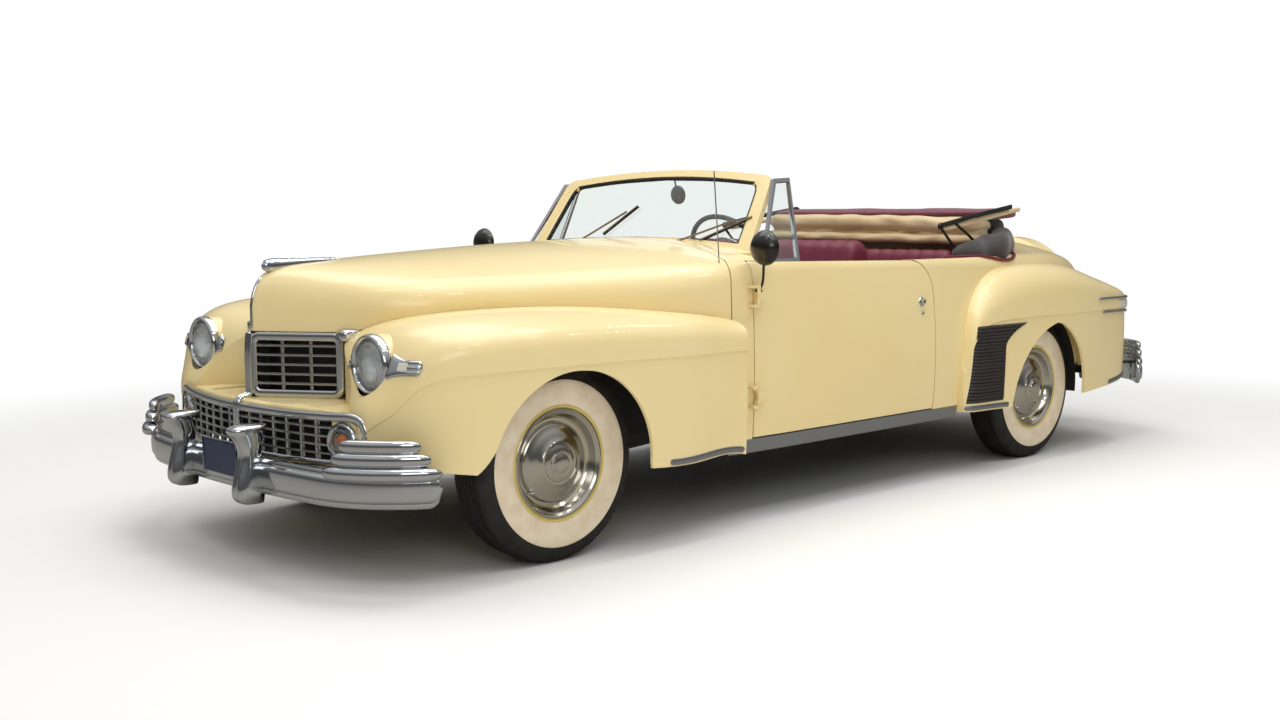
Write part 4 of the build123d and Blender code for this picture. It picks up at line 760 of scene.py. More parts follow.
class TOURING_OT_grille(bpy.types.Operator):
    """Plated mouldings round both grilles, and the strip down the nose."""

    bl_idname = "touring.grille"
    bl_label = "Grille mouldings"

    def execute(self, context):
        top = [(0, 576), (180, 576), (340, 577), (500, 580), (590, 583), (636, 572), (656, 540),
            (658, 498), (646, 456), (612, 430), (560, 420),
               (400, 417), (200, 416), (0, 416)]
        across, height = curve_through(top, 110).T
        # The apron's face is an arc of 1958 mm about a point on the centre line.
        smooth = np.stack([811.0 - 1958.0 + np.sqrt(1962.0**2 - across**2), across, height], -1)
        surround = both(carried(smooth, round_section(16.0, 12.0, 2.6, 20), (1, 0, 0)))
        # The upper grille's two halves lie in upright planes that meet at the nose.
        along = np.array((-202.0, 308.0, 0.0)) / 368.3
        face = np.array((308.0, 202.0, 0.0)) / 368.3
        s, z = self.rounded(14, 354, 620, 828, 26.0)
        path = np.array((762.0, 0.0, 0.0)) + s[:, None] * along + z[:, None] * (0, 0, 1) + 2.0 * face
        frames = both(carried(path, round_section(16.0, 11.0, 2.8, 20), face, closed=True))
        gusset = both(pebble((546, 324, 836), (46, 34, 24), 3.5))
        nose = [(764, 9, 838), (770, 9, 760), (770, 9, 640), (774, 9, 618), (788, 9, 611),
            (806, 9, 606), (819, 9, 594), (823, 9, 570), (823, 9, 500), (823, 9, 420)]
        strips = both(tube(nose, 10.5, 16, 80, (0, 1, 0)))
        piece("grille_surround", "root", {"chrome plate": surround + frames + gusset + strips}, 40.0)
        bars = []
        for z in (453.0, 483.0, 513.0, 543.0):
            y = np.linspace(-516.0, 516.0, 60)
            bars.append(carried(self.on_apron(y, z, 1958.0), round_section(12.0, 5.5, 3.0, 16)))
        for y in np.linspace(-444.0, 444.0, 13):
            z = np.linspace(424.0, 572.0, 12)
            bars.append(carried(self.on_apron(np.full(12, y), z, 1955.0),
                round_section(12.0 if y == 0 else 5.5, 11.0, 3.0, 16), (1, 0, 0)))
        back = [grid(np.stack([self.on_apron(np.linspace(-530, 530, 40), z, 1880.0) for z in (416.0,
            580.0)]))]
        finishes = {"satin plate": bars, "chassis black": back}
        piece("lower_bars", "root", finishes, 34.0, ["lower_grille"])
        bars = []
        for z in np.linspace(657.0, 795.0, 5):
            line = np.linspace(20.0, 348.0, 20)[:, None] * along + (762.0, 0.0, z) - 3.0 * face
            bars += both(carried(line, round_section(10.0, 6.0, 3.0, 16)))
        for s in (124.0, 236.0):
            line = np.linspace(622.0, 826.0, 14)[:, None] * (0, 0,
                1) + np.array((762.0, 0.0, 0.0)) + s * along - 12.0 * face
            bars += both(carried(line, round_section(8.0, 9.0, 3.0, 16), face))
        back = both(grid(np.stack([np.array([(762, 0, z), (556, 314, z)]) - 70.0 * face for z in (610.0,
            838.0)])))
        finishes = {"satin plate": bars, "chassis black": back}
        piece("upper_bars", "root", finishes, 34.0, ["upper_grille"])
        # Painted shelf over the lower grille, which falls away to the fenders.
        u = np.linspace(0, 1, 40)[:, None]
        v = np.linspace(0, 1, 20)[None, :]
        y = 300.0 + 330.0 * u * np.ones_like(v)
        fall = 608.0 - 30.0 * np.clip((y - 330.0) / 300.0, 0, 1) ** 1.6
        x = 811.0 - 1958.0 + np.sqrt(1957.0**2 - y**2) - 5.0 - 190.0 * v
        shelf = both(grid(np.stack([x, y, fall - 26.0 * (1.0 - np.clip(v * 9.0, 0, 1)) ** 2], -1)))
        piece("nose_shelf", "root", {"cream enamel": shelf}, 50.0)
        return {"FINISHED"}

    def on_apron(self, y, z, radius):
        """Points of an upright drum about the apron's centre line: x follows from y and the radius."""
        y = np.asarray(y, float)
        return np.stack([811.0 - 1958.0 + np.sqrt(radius**2 - y**2), y, np.broadcast_to(z, y.shape)], -1)

    def rounded(self, left, right, low, high, radius):
        """Rectangle with round corners: a point per ten degrees of each corner and a few on the straights."""
        turn = np.radians(np.arange(0, 91, 10))
        s, z = [], []
        for a, b, start in ((right, high, 0), (left, high, 90), (left, low, 180), (right, low, 270)):
            angle = turn + np.radians(start)
            middle_s = a - radius if a == right else a + radius
            middle_z = b - radius if b == high else b + radius
            s += list(middle_s + radius * np.cos(angle))
            z += list(middle_z + radius * np.sin(angle))
        return np.array(s), np.array(z)


# Side trim, handles and mirrors


def seated(tree, start, direction, profile, steps=40, closed=False):
    """A turned fitting whose foot sits on a skin where a ray meets it, with its axis along the skin's
    normal."""
    point, normal, _, _ = tree.ray_cast(Vector((np.asarray(start, float) + (AXLE_X, 0, 0)) / 1000.0),
        Vector(direction))
    if point is None:
        raise RuntimeError(f"nothing under the fitting at {start}")
    away = normal if normal.dot(Vector(direction)) < 0 else -normal
    return turned(profile, np.array(point) * 1000.0 - (AXLE_X, 0, 0), np.array(away), steps, closed)


def strip_on(tree, x, z, half_height, thick, count=60):
    """A flat strip along the body side: x and height run through the given values, laid on the skin
    from outside."""
    line = curve_through(np.stack([x, z], -1), count)
    starts = np.stack([line[:, 0], np.full(count, 1300.0), line[:, 1]], -1)
    path = draped(tree, starts, (0, -1, 0), thick * 0.3)
    scale = rounded_ends(count, 0.03)
    return carried(path, round_section(thick, half_height, 3.0, 16), size=scale)


def lower_edge(tree, x, rise):
    """Heights a little over the lower edge of a panel: the lowest of a row of sideways rays that meets
    it, smoothed."""
    found = []
    for place in x:
        heights = np.arange(270.0, 520.0, 3.0)
        starts = [Vector(((place + AXLE_X) / 1000.0, 1.3, z / 1000.0)) for z in heights]
        met = [z for z, start in zip(heights, starts) if tree.ray_cast(start, Vector((0, -1, 0)),
            0.7)[0] is not None]
        if not met:
            raise RuntimeError(f"no panel beside {place}")
        found.append(met[0] + rise)
    level = np.polynomial.Polynomial.fit(x, found, 3)
    return level(np.asarray(x, float))


def front_edge(tree, heights):
    """A straight line down a panel's front edge: through the foremost x that a sideways ray meets at
    both ends of
    the heights, moved back until every height lies on the panel."""
    places = np.arange(-2380.0, -2520.0, -4.0)
    found = []
    for z in heights:
        starts = [Vector(((place + AXLE_X) / 1000.0, 1.3, z / 1000.0)) for place in places]
        met = [place for place,
            start in zip(places, starts) if tree.ray_cast(start, Vector((0, -1, 0)), 0.7)[0] is not None]
        if not met:
            raise RuntimeError(f"no panel at height {z}")
        found.append(met[0])
    line = np.linspace(found[0], found[-1], len(found))
    return line + min(0.0, (np.array(found) - line).min())


class TOURING_OT_side_trim(bpy.types.Operator):
    """Strips along the lower edges, ribs on the tail, and the aerial."""

    bl_idname = "touring.side_trim"
    bl_label = "Side trim"

    def execute(self, context):
        front = skin_of("front_fenders")
        rear = skin_of("rear_fenders", "gravel_shields")
        low = []
        for skin, x_from, x_to in ((front, -420.0, -860.0), (rear, -2455.0, -2765.0),
            (rear, -3800.0, -4050.0)):
            x = np.linspace(x_from, x_to, 12)
            low += both(strip_on(skin, x, lower_edge(skin, x, 16.0), 12.0, 4.0))
        piece("lower_strips", "root", {"satin aluminium": low}, 34.0)
        ribs = []
        for start, z in ((-3610, 800), (-3680, 726)):
            ribs += both(strip_on(rear, (start, -3860, -4076), (z + 4, z, z - 6), 7.5, 9.0))
        card = both(strip_on(rear, (-3900, -3980, -4070), (764, 762, 758), 24.0, 6.0))
        piece("tail_ribs", "root", {"chrome plate": ribs, "lamp card": card}, 34.0)
        self.shields(skin_of("rear_fenders"))
        self.liners()
        base = [(0, 22), (5, 22), (7, 18), (9, 10), (17, 7), (21, 3), (22, -2)]
        foot = seated(skin_of("cowl", "front_fenders"), (-886, 806, 1100), (0, 0, -1), base)
        mast = tube([(-884, 806, 850), (-870, 805, 1050), (-845, 800, 1424)], 2.6, 10, 24)
        tip = pebble((-845, 800, 1427), (4.5, 4.5, 4.5), 2.0, 11, 16)
        piece("aerial", "root", {"chrome plate": [foot, mast, tip]}, 34.0)
        return {"FINISHED"}

    def shields(self, skin):
        """Ribbed rubber guards ahead of the rear wheels: the front edge is straight, the rear one
        flares at the top,
        and the skin rises over a rib every 16 mm as the absolute sine of the height."""
        z = np.linspace(352.0, 722.0, 240)[:, None]
        v = np.linspace(0.0, 1.0, 28)[None, :]
        rear = -2722.0 - 14.0 * (z - 352.0) / 370.0 - 185.0 * np.clip((z - 606.0) / 116.0, 0, 1) ** 2.0
        front = front_edge(skin, z[:, 0])[:, None] - 10.0
        x = front + (rear - front) * v
        starts = np.stack([x, np.full(x.shape, 1300.0), z * np.ones_like(v)], -1)
        edge = (1.0 - np.abs(2 * v - 1) ** 24) * (1.0 - np.abs((z - 537.0) / 185.0) ** 60)
        lift = edge * (6.0 + 3.5 * np.abs(np.sin(np.pi * z / 16.0)) ** 0.6) - 1.0
        guards = both(grid(draped(skin, starts, (0, -1, 0), lift)))
        piece("gravel_guards", "root", {"ribbed rubber": guards}, 60.0, ["gravel_shields"])

    def liners(self):
        """Dark half drums over the rear wheels."""
        angle = np.radians(np.linspace(-8, 188, 60))
        shapes = []
        for radius, inner, outer in ((404.0, REAR_WHEEL_Y - 112.0, REAR_WHEEL_Y + 96.0),):
            rim = np.stack([REAR_AXLE + radius * np.cos(angle), HUB_Z + radius * np.sin(angle)], -1)
            hub = np.array((REAR_AXLE, HUB_Z)) + (rim - (REAR_AXLE, HUB_Z)) * 0.36
            rows = [np.column_stack([a[:, 0], np.full(len(a), y), a[:, 1]]) for a,
                y in ((hub, inner), (rim, inner), (rim, outer))]
            shapes += both(grid(np.stack(rows)))
        piece("wheel_well_liners", "root", {"undercoat": shapes}, 40.0)


class TOURING_OT_door_fittings(bpy.types.Operator):
    """Push buttons, locks, mirrors and linings, all on the doors."""

    bl_idname = "touring.door_fittings"
    bl_label = "Door fittings"

    def execute(self, context):
        button = [(0, 19), (8, 18.5), (11, 17), (12, 12), (12.5, 7), (15, 6), (19, 5), (22, 2), (23, -2)]
        lock = [(0, 4), (3, 5.5), (7, 6), (9, 4), (10, -2)]
        head = [(0, 36), (18, 34.5), (38, 29), (55, 18), (67, 4), (71, -6), (72, -13), (70, -15), (66, -13)]
        glass = [(0, -12), (66.5, -12.5)]
        for side, sign in (("left", 1), ("right", -1)):
            skin = skin_of(f"door_{side}")
            body = f"door_{side}"
            pull = seated(skin, (-2145, sign * 1300, 854), (0, -sign, 0), button)
            key = seated(skin, (-2145, sign * 1300, 803), (0, -sign, 0), lock)
            piece(f"handle_{side}", body, {"chrome plate": [pull, key]}, 34.0)
            centre = (-1005, sign * 920, 1124)
            stalk = tube([(-1018, sign * 884, 948), (-1022, sign * 902, 985), (-1014, sign * 914, 1050),
                (-1008, sign * 920, 1112)], 5.5, 12, 20)
            foot = pebble((-1018, sign * 884, 940), (12, 16, 20), 3.0)
            shell = turned(head, centre, (1, 0, 0), 64)
            finishes = {"black enamel": [shell, stalk, foot],
                "silvered glass": [turned(glass, centre, (1, 0, 0), 64)]}
            piece(f"mirror_shell_{side}", body, finishes, 34.0, [f"mirror_{side}"])
            u = np.linspace(0, 1, 60)[:, None]
            v = np.linspace(0, 1, 26)[None, :]
            x = -1050.0 + (-2170.0 + 1050.0) * u * np.ones_like(v)
            z = 420.0 + (975.0 - 420.0) * v * np.ones_like(u)
            starts = np.stack([x, np.full(x.shape, sign * 500.0), z], -1)
            bulge = 5.0 + 3.0 * np.abs(np.sin(np.pi * u * 14.0)) ** 0.5 * (np.abs(v - 0.62) < 0.3)
            lining = draped(skin, starts, (0, sign, 0), bulge)
            rest = pebble((-1600, sign * 742, 806), (210, 30, 26), 3.0)
            piece(f"door_lining_{side}", body, {"maroon leather": [grid(lining), rest]}, 50.0)
        return {"FINISHED"}


# Windshield and cockpit


SCREEN_BASE = np.array((-1160.0, 0.0, 1100.0))
SCREEN_UP = np.array((-np.sin(np.radians(33.0)), 0.0, np.cos(np.radians(33.0))))
SCREEN_OUT = np.array((np.cos(np.radians(33.0)), 0.0, np.sin(np.radians(33.0))))


def on_screen(y, v, off):
    """Point of the windshield's plane: across, up the slope, and off the glass."""
    y, v, off = (np.asarray(a, float)[..., None] for a in (y, v, off))
    return SCREEN_BASE + y * np.array((0.0, 1.0, 0.0)) + v * SCREEN_UP + off * SCREEN_OUT


class TOURING_OT_windshield(bpy.types.Operator):
    """Rubber seal round the glass, two wipers parked alike, and the mirror inside."""

    bl_idname = "touring.windshield"
    bl_label = "Windshield"

    def execute(self, context):
        y = [0, 330, 570, 624, 628, 618, 606, 598, 586, 566, 530, 300, 0]
        v = [60, 52, 39, 38, 60, 160, 270, 308, 332, 344, 350, 372, 384]
        right = curve_through(np.stack([y, v], -1), 90)
        line = np.vstack([right, right[-2:0:-1] * (-1, 1)])
        path = on_screen(line[:, 0], line[:, 1], np.zeros(len(line)))
        seal = carried(path, round_section(6.0, 12.0, 3.0, 16), SCREEN_OUT, closed=True)
        piece("screen_seal", "root", {"seal rubber": [seal]}, 40.0)
        y, v = curve_through([(652, 24), (650, 60), (641, 160), (629, 270), (621, 312), (606, 338),
            (580, 352)], 50).T
        posts = both(carried(on_screen(y, v, np.zeros(50)), round_section(24.0, 12.0, 4.0, 20), SCREEN_OUT))
        piece("screen_posts", "root", {"cream enamel": posts}, 40.0)
        arms, blades, holders = [], [], []
        for pivot, elbow, low, high in (((-337, 39), (-132, 189), (-237, 73), (-87, 227)),
            ((293, 30), (566, 140), (406, 47), (651, 165))):
            arms.append(tube([on_screen(*pivot, 24.0), on_screen(*pivot, 32.0),
                on_screen(*elbow, 26.0)], 4.5))
            arms.append(turned([(0, 34), (8, 33), (12, 28), (13, 10), (16, 2)], on_screen(*pivot, 0.0),
                SCREEN_OUT, 24))
            ends = np.array([on_screen(*low, 17.0), on_screen(*high, 17.0)])
            holders.append(carried(np.linspace(*ends, 12), round_section(4.0, 3.0, 3.0, 12), SCREEN_OUT))
            ends = np.array([on_screen(*low, 11.0), on_screen(*high, 11.0)])
            blades.append(carried(np.linspace(*ends, 12), round_section(2.6, 7.0, 3.0, 12), SCREEN_OUT))
        finishes = {"wiper metal": arms + holders, "seal rubber": blades}
        piece("wiper_arms", "root", finishes, 34.0, ["wipers"])
        centre = on_screen(45.0, 340.0, -70.0)
        shell = turned([(0, 15), (24, 14), (38, 9), (43, 1), (43, -6), (40, -7)], centre, (1, 0, -0.1), 48)
        glass = turned([(0, -5), (40.5, -5.5)], centre, (1, 0, -0.1), 48)
        stem = tube([centre + (10, 0, 6), on_screen(45.0, 372.0, -30.0), on_screen(45.0, 392.0, -8.0)],
            4.0, 10, 12)
        finishes = {"dark plastic": [shell, stem], "silvered glass": [glass]}
        piece("inside_mirror", "root", finishes, 34.0)
        return {"FINISHED"}


def cushion(outline, half, pleat, depth, count=120, ends=0.035):
    """Upholstered block: an outline of (x, z) carried across the car. Its section shrinks to its
    middle at the two
    ends, and between pleats it sinks by a power of the sine of y, most where the outline faces up and
    forward."""
    loop = curve_through(np.vstack([outline, outline[:1]]), 90)[:-1]
    middle = (loop.max(0) + loop.min(0)) / 2
    tangent = np.roll(loop, -1, 0) - np.roll(loop, 1, 0)
    normal = np.stack([tangent[:, 1], -tangent[:, 0]], -1)
    normal /= np.linalg.norm(normal, axis=1)[:, None]
    if ((loop - middle) * normal).sum() < 0:
        normal = -normal
    showing = np.clip(normal[:, 0] * 0.8 + normal[:, 1] * 0.8, 0.0, 1.0)
    y = np.linspace(-half, half, count)
    sink = depth * (1.0 - np.abs(np.sin(np.pi * y / pleat)) ** 0.45)
    inner = (np.abs(y) < half * 0.93).astype(float)
    scale = rounded_ends(count, ends)
    scale = 0.80 + 0.20 * scale
    ring = middle + (loop - middle)[None] * scale[:, None, None] - (sink * inner)[:, None,
        None] * showing[None, :, None] * normal[None]
    points = np.stack([ring[..., 0], np.broadcast_to(y[:, None], ring.shape[:2]), ring[..., 1]], -1)
    return grid(points, close_columns=True, caps=True)


class TOURING_OT_seats(bpy.types.Operator):
    """Pleated front and rear bench seats, and carpets."""

    bl_idname = "touring.seats"
    bl_label = "Seats"

    def execute(self, context):
        pleat = context.scene.touring_sizes.pleat
        base = [(-1400, 612), (-1398, 690), (-1420, 738), (-1475, 758), (-1600, 752), (-1760, 742),
            (-1838, 728), (-1852, 640), (-1700, 606), (-1500, 604)]
        back = [(-1842, 742), (-1826, 770), (-1852, 950), (-1884, 1070), (-1912, 1120), (-1962, 1136),
            (-2008, 1116), (-2020, 1060), (-2000, 820),
                (-1970, 640), (-1900, 640)]
        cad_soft("front_cushion", cushion(base, 678.0, pleat, 7.0), ["front_seat"])
        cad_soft("front_backrest", cushion(back, 680.0, pleat, 7.0))
        plinth = pebble((-1715, 0, 575), (270, 640, 36), 12.0)
        piece("front_seat_base", "root", {"maroon carpet": [plinth]}, 40.0)
        base = [(-2350, 612), (-2350, 704), (-2370, 750), (-2420, 768), (-2560, 758), (-2700, 744),
            (-2740, 640), (-2560, 606), (-2420, 604)]
        back = [(-2722, 752), (-2704, 775), (-2728, 950), (-2748, 1036), (-2776, 1070), (-2806, 1070),
            (-2826, 1040), (-2828, 800), (-2800, 650), (-2750, 660)]
        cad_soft("rear_cushion", cushion(base, 608.0, pleat, 7.0), ["rear_seat"])
        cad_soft("rear_backrest", cushion(back, 610.0, pleat, 7.0))
        floor = skin_of("floor_pan")
        mats = []
        for x_from, x_to in ((-1010, -1392), (-2040, -2345)):
            u = np.linspace(0, 1, 20)[:, None] * np.ones((1, 60))
            v = np.linspace(-1, 1, 60)[None, :] * np.ones((20, 1))
            starts = np.stack([x_from + (x_to - x_from) * u, 650.0 * v, np.full(u.shape, 760.0)], -1)
            mats.append(grid(draped(floor, starts, (0, 0, -1), 5.0)))
        piece("carpets", "root", {"maroon carpet": mats}, 50.0)
        return {"FINISHED"}


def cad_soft(name, shape, replaces=(), finish="maroon leather"):
    thing = piece(name, "root", {finish: [shape]}, 60.0, replaces)
    return thing


# Folded top


def folds(u, v, seed, size):
    """Soft cloth folds: a few sines of different lengths and directions, fixed by a seed."""
    turn = np.random.default_rng(seed)
    height = np.zeros(np.broadcast(u, v).shape)
    for _ in range(5):
        a, b, shift = turn.uniform(3, 14), turn.uniform(-5, 5), turn.uniform(0, 6.3)
        height = height + np.sin(a * u + b * v + shift) / 5.0
    return size * height


def layer(outline, half, rise, seed, size, count=90, bow=0.0):
    """Folded cloth layer: a closed outline of (x, z) carried across the car, its ends rounded in, its
    rear edge bowed
    and its skin moved by folds; rise lifts or drops it along y."""
    loop = curve_through(np.vstack([outline, outline[:1]]), 80)[:-1]
    middle = (loop.max(0) + loop.min(0)) / 2
    y = np.linspace(-half, half, count)
    scale = 0.35 + 0.65 * rounded_ends(count, 0.07)
    v = np.linspace(0, 2 * np.pi, len(loop), endpoint=False)[None, :]
    out = loop - middle
    length = np.linalg.norm(out, axis=1)[None, :]
    wave = folds(y[:, None] / half * 2.2, np.sin(v), seed, size) / np.maximum(length, 30.0)
    ring = middle + out[None] * (scale[:, None, None] * (1.0 + wave[..., None]))
    x = ring[..., 0] + bow * (y[:, None] / half) ** 2
    z = ring[..., 1] + np.interp(y, (-half, 0.0, half), rise)[:, None]
    return grid(np.stack([x, np.broadcast_to(y[:, None], x.shape), z], -1), close_columns=True, caps=True)


class TOURING_OT_folded_top(bpy.types.Operator):
    """The top folded down: canvas rolls in front, cloth layers behind, rails at the sides and the dark
    well lining."""

    bl_idname = "touring.folded_top"
    bl_label = "Folded top"

    def execute(self, context):
        upper = [(-2960, 1176), (-2880, 1170), (-2842, 1186), (-2834, 1212), (-2846, 1238),
            (-2890, 1250), (-3000, 1246), (-3060, 1220), (-3050, 1184)]
        lower = [(-2980, 1108), (-2880, 1104), (-2838, 1112), (-2826, 1130), (-2838, 1150),
            (-2880, 1160), (-2940, 1178), (-3040, 1180), (-3050, 1130)]
        hollow = [(-3040, 1120), (-2900, 1124), (-2866, 1136), (-2862, 1168), (-2872, 1196),
            (-2920, 1214), (-3040, 1216)]
        canvas = [layer(upper, 688.0, (6, 0, -14), 3, 10.0), layer(lower, 684.0, (8, 0, -8), 8, 8.0),
            layer(hollow, 680.0, (4, 0, -8), 5, 16.0)]
        roll = piece("canvas_rolls", "root", {"tan canvas": canvas}, 70.0, ["folded_top"])
        cloth = [(-3020, 1226), (-2960, 1240), (-2930, 1256), (-2960, 1272), (-3100, 1282),
            (-3300, 1282), (-3376, 1268), (-3386, 1250), (-3360, 1234), (-3200, 1224)]
        under = [(-3030, 1150), (-2990, 1180), (-3000, 1222), (-3120, 1238), (-3300, 1232),
            (-3356, 1206), (-3360, 1160), (-3320, 1130), (-3200, 1122), (-3090, 1128)]
        outer = piece("cloth_layers", "root",
            {"maroon top cloth": [layer(cloth, 690.0, (3, 0, -2), 11, 6.0, bow=60.0)],
            "black top cloth": [layer(under, 630.0, (0, 0, 0), 14, 12.0, bow=60.0)]}, 70.0)
        rails, rubber, flaps = [], [], []
        for sign in (1, -1):
            line = curve_through([(-2530, sign * 712, 1196), (-2800, sign * 712, 1238),
                (-3160, sign * 706, 1286)], 40)
            rails.append(carried(line, round_section(7.0, 9.0, 4.0, 16)))
            rubber.append(carried(line + (0, sign * 9.0, 3.0), round_section(4.0, 12.0, 3.0, 16)))
            flap = curve_through([(-2560, sign * 704, 1180), (-2800, sign * 704, 1212),
                (-3160, sign * 694, 1262), (-3330, sign * 660, 1276)], 40)
            flaps.append(carried(flap, round_section(9.0, 12.0, 2.5, 16), size=rounded_ends(40, 0.08)))
            rails.append(tube([(-2530, sign * 716, 1190), (-2620, sign * 722, 1110),
                (-2700, sign * 726, 1066)], 7.0, 12, 16))
            rails.append(tube([(-2660, sign * 714, 1206), (-2790, sign * 724, 1130),
                (-2876, sign * 730, 1048)], 7.0, 12, 16))
            rails.append(turned([(0, 8), (14, 7), (17, 3), (17, -8)], (-2536, sign * 714, 1196),
                (0, sign, 0), 32))
        finishes = {"black enamel": rails, "seal rubber": rubber, "tan canvas": flaps}
        piece("top_rails", "root", finishes, 40.0, ["top_bows"])
        self.well()
        return {"FINISHED"}

    def well(self):
        """Dark boot cloth heaped round the rear of the cockpit, and the piped edge outside it."""
        body = skin_of("rear_body")
        plan = [(-2420, 800), (-2700, 808), (-2920, 814), (-3080, 780), (-3180, 690), (-3220, 560),
            (-3232, 300), (-3234, 0)]
        line = curve_through(plan, 90)
        line = np.vstack([line, line[-2::-1] * (1, -1)])
        starts = np.column_stack([line, np.full(len(line), 1500.0)])
        edge = draped(body, starts, (0, 0, -1), 5.0)
        piping = carried(edge, round_section(9.0, 8.0, 2.0, 16), size=rounded_ends(len(edge), 0.01))
        piece("cockpit_piping", "root", {"maroon leather": [piping]}, 40.0)
        plan = [(-2600, 744), (-2800, 742), (-2980, 738), (-3120, 680), (-3172, 545), (-3184, 300),
            (-3186, 0)]
        line = curve_through(plan, 110)
        line = np.vstack([line, line[-2::-1] * (1, -1)])
        share = np.linspace(-1, 1, len(line))
        height = 1060.0 + 52.0 * np.clip(1.6 - np.abs(share) * 1.7, 0, 1)
        path = np.column_stack([line, height])
        angle = np.linspace(0, 2 * np.pi, 40, endpoint=False)
        half = 24.0 + 46.0 * np.clip((1.0 - np.abs(share)) * 3.0, 0, 1) ** 0.6
        wave = 1.0 + folds(share[:, None] * 2.6, np.sin(angle + share[:, None] * 2.0), 21, 0.26)
        along = np.gradient(path, axis=0)
        along /= np.linalg.norm(along, axis=1)[:, None]
        side = np.cross(along, (0, 0, 1))
        scale = rounded_ends(len(path), 0.04)[:, None]
        reach = half[:, None] * wave * scale
        points = path[:, None] + (reach * np.cos(angle))[..., None] * side[:,
            None] + (reach * 1.1 * np.sin(angle))[..., None] * (0, 0, 1)
        heap = piece("boot_cloth", "root",
            {"black top cloth": [grid(points, close_columns=True, caps=True)]}, 80.0)


class TOURING_OT_brightwork(bpy.types.Operator):
    """Hood ornament, steering wheel ring, dials, trunk handle, lamp rims and the spare's band."""

    bl_idname = "touring.brightwork"
    bl_label = "Brightwork"

    def execute(self, context):
        line = curve_through([(704, 0, 1082), (690, 0, 1080), (650, 0, 1079), (590, 0, 1083),
            (500, 0, 1089), (387, 0, 1094)], 60)
        half = curve_through([(5, 7), (14, 20), (21, 26), (20, 21), (13, 14), (4, 6)], 60)
        head = carried(line, round_section(1.0, 1.0, 2.4, 28), size=half)
        fin = carried(line[6:] + (0, 0, 1.0) * half[6:, 1:], round_section(3.5, 5.0, 2.0, 12),
            size=rounded_ends(54, 0.08))
        prow = hits(skin_of("hood"), [(1200, 0, z) for z in np.linspace(852, 1040, 24)], (-1, 0, 0), 1.0)
        bead = carried(prow, round_section(5.0, 6.0, 2.0, 12), (0, 1, 0),
            size=rounded_ends(len(prow), 0.05))
        finishes = {"chrome plate": [head, fin, bead]}
        piece("nose_ornament", "hood", finishes, 34.0, ["hood_ornament"])
        lean = np.radians(30.0)
        axis = np.array((-np.cos(lean), 0.0, np.sin(lean)))
        centre = np.array((-1414.0, 380.0, 1052.0))
        ring = turned([(118 + 4 * np.cos(a), 4 * np.sin(a) - 4) for a in np.linspace(0, 2 * np.pi, 12,
            endpoint=False)], centre, axis, 96, True)
        boss = turned([(0, 26), (16, 25), (27, 21), (33, 14), (36, 6)], centre, axis, 48)
        piece("horn_ring", "steering_wheel", {"chrome plate": [ring, boss]}, 34.0)
        dash = skin_of("dashboard")
        face = [(0, 3), (40, 3), (40.5, 1)]
        rim = [(40, 1), (40.5, 5), (43, 7), (46, 6), (47.5, 1)]
        faces, rims, knobs = [], [], []
        for y in (250.0, 380.0, 510.0, -380.0):
            faces.append(seated(dash, (-1700, y, 985), (1, 0, 0), face))
            rims.append(seated(dash, (-1700, y, 985), (1, 0, 0), rim))
        for y in (-200.0, -120.0, -40.0, 40.0, 120.0):
            knobs.append(seated(dash, (-1700, y, 960), (1, 0, 0),
                [(0, 20), (9, 19), (11, 15), (9, 9), (5, 6), (5, 0)], 24))
        finishes = {"dial card": faces, "chrome plate": rims, "dark plastic": knobs}
        piece("dials", "root", finishes, 34.0)
        lid = skin_of("trunk_lid")
        foot = seated(lid, (-4085, 0, 1500), (0, 0, -1), [(0, 14), (20, 13), (30, 9), (34, 2), (35, -2)])
        bar = seated(lid, (-4085, 0, 1500), (0, 0, -1), [(0, 34), (8, 33), (11, 28), (10, 14)], 24)
        piece("trunk_handle", "trunk_lid", {"chrome plate": [foot, bar]}, 34.0)
        angle = np.linspace(0, 2 * np.pi, 120, endpoint=False)
        circle = np.stack([np.full(120, -6000.0), 250 * np.cos(angle), 745 + 250 * np.sin(angle)], -1)
        band = draped(skin_of("spare_cover"), circle, (1, 0, 0), 1.0)
        band = carried(band, round_section(9.0, 5.0, 2.0, 12), (1, 0, 0), closed=True)
        cap = seated(skin_of("spare_cover"), (-6000, 0, 745), (1, 0, 0),
            [(0, 26), (40, 24), (70, 17), (90, 8), (96, -2)], 72)
        piece("spare_band", "root", {"chrome plate": [band, cap]}, 34.0)
        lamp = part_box("tail_lamps")
        tail = lamp[0].x * 1000.0 - AXLE_X
        rims = both(turned([(33, 2), (34, 6), (38, 7), (42, 3), (43, -30), (36, -30), (35, -2)],
            (tail, 760, 690), (-1, 0, 0), 64, True))
        piece("tail_lamp_rims", "root", {"chrome plate": rims}, 34.0)
        return {"FINISHED"}


# Stage


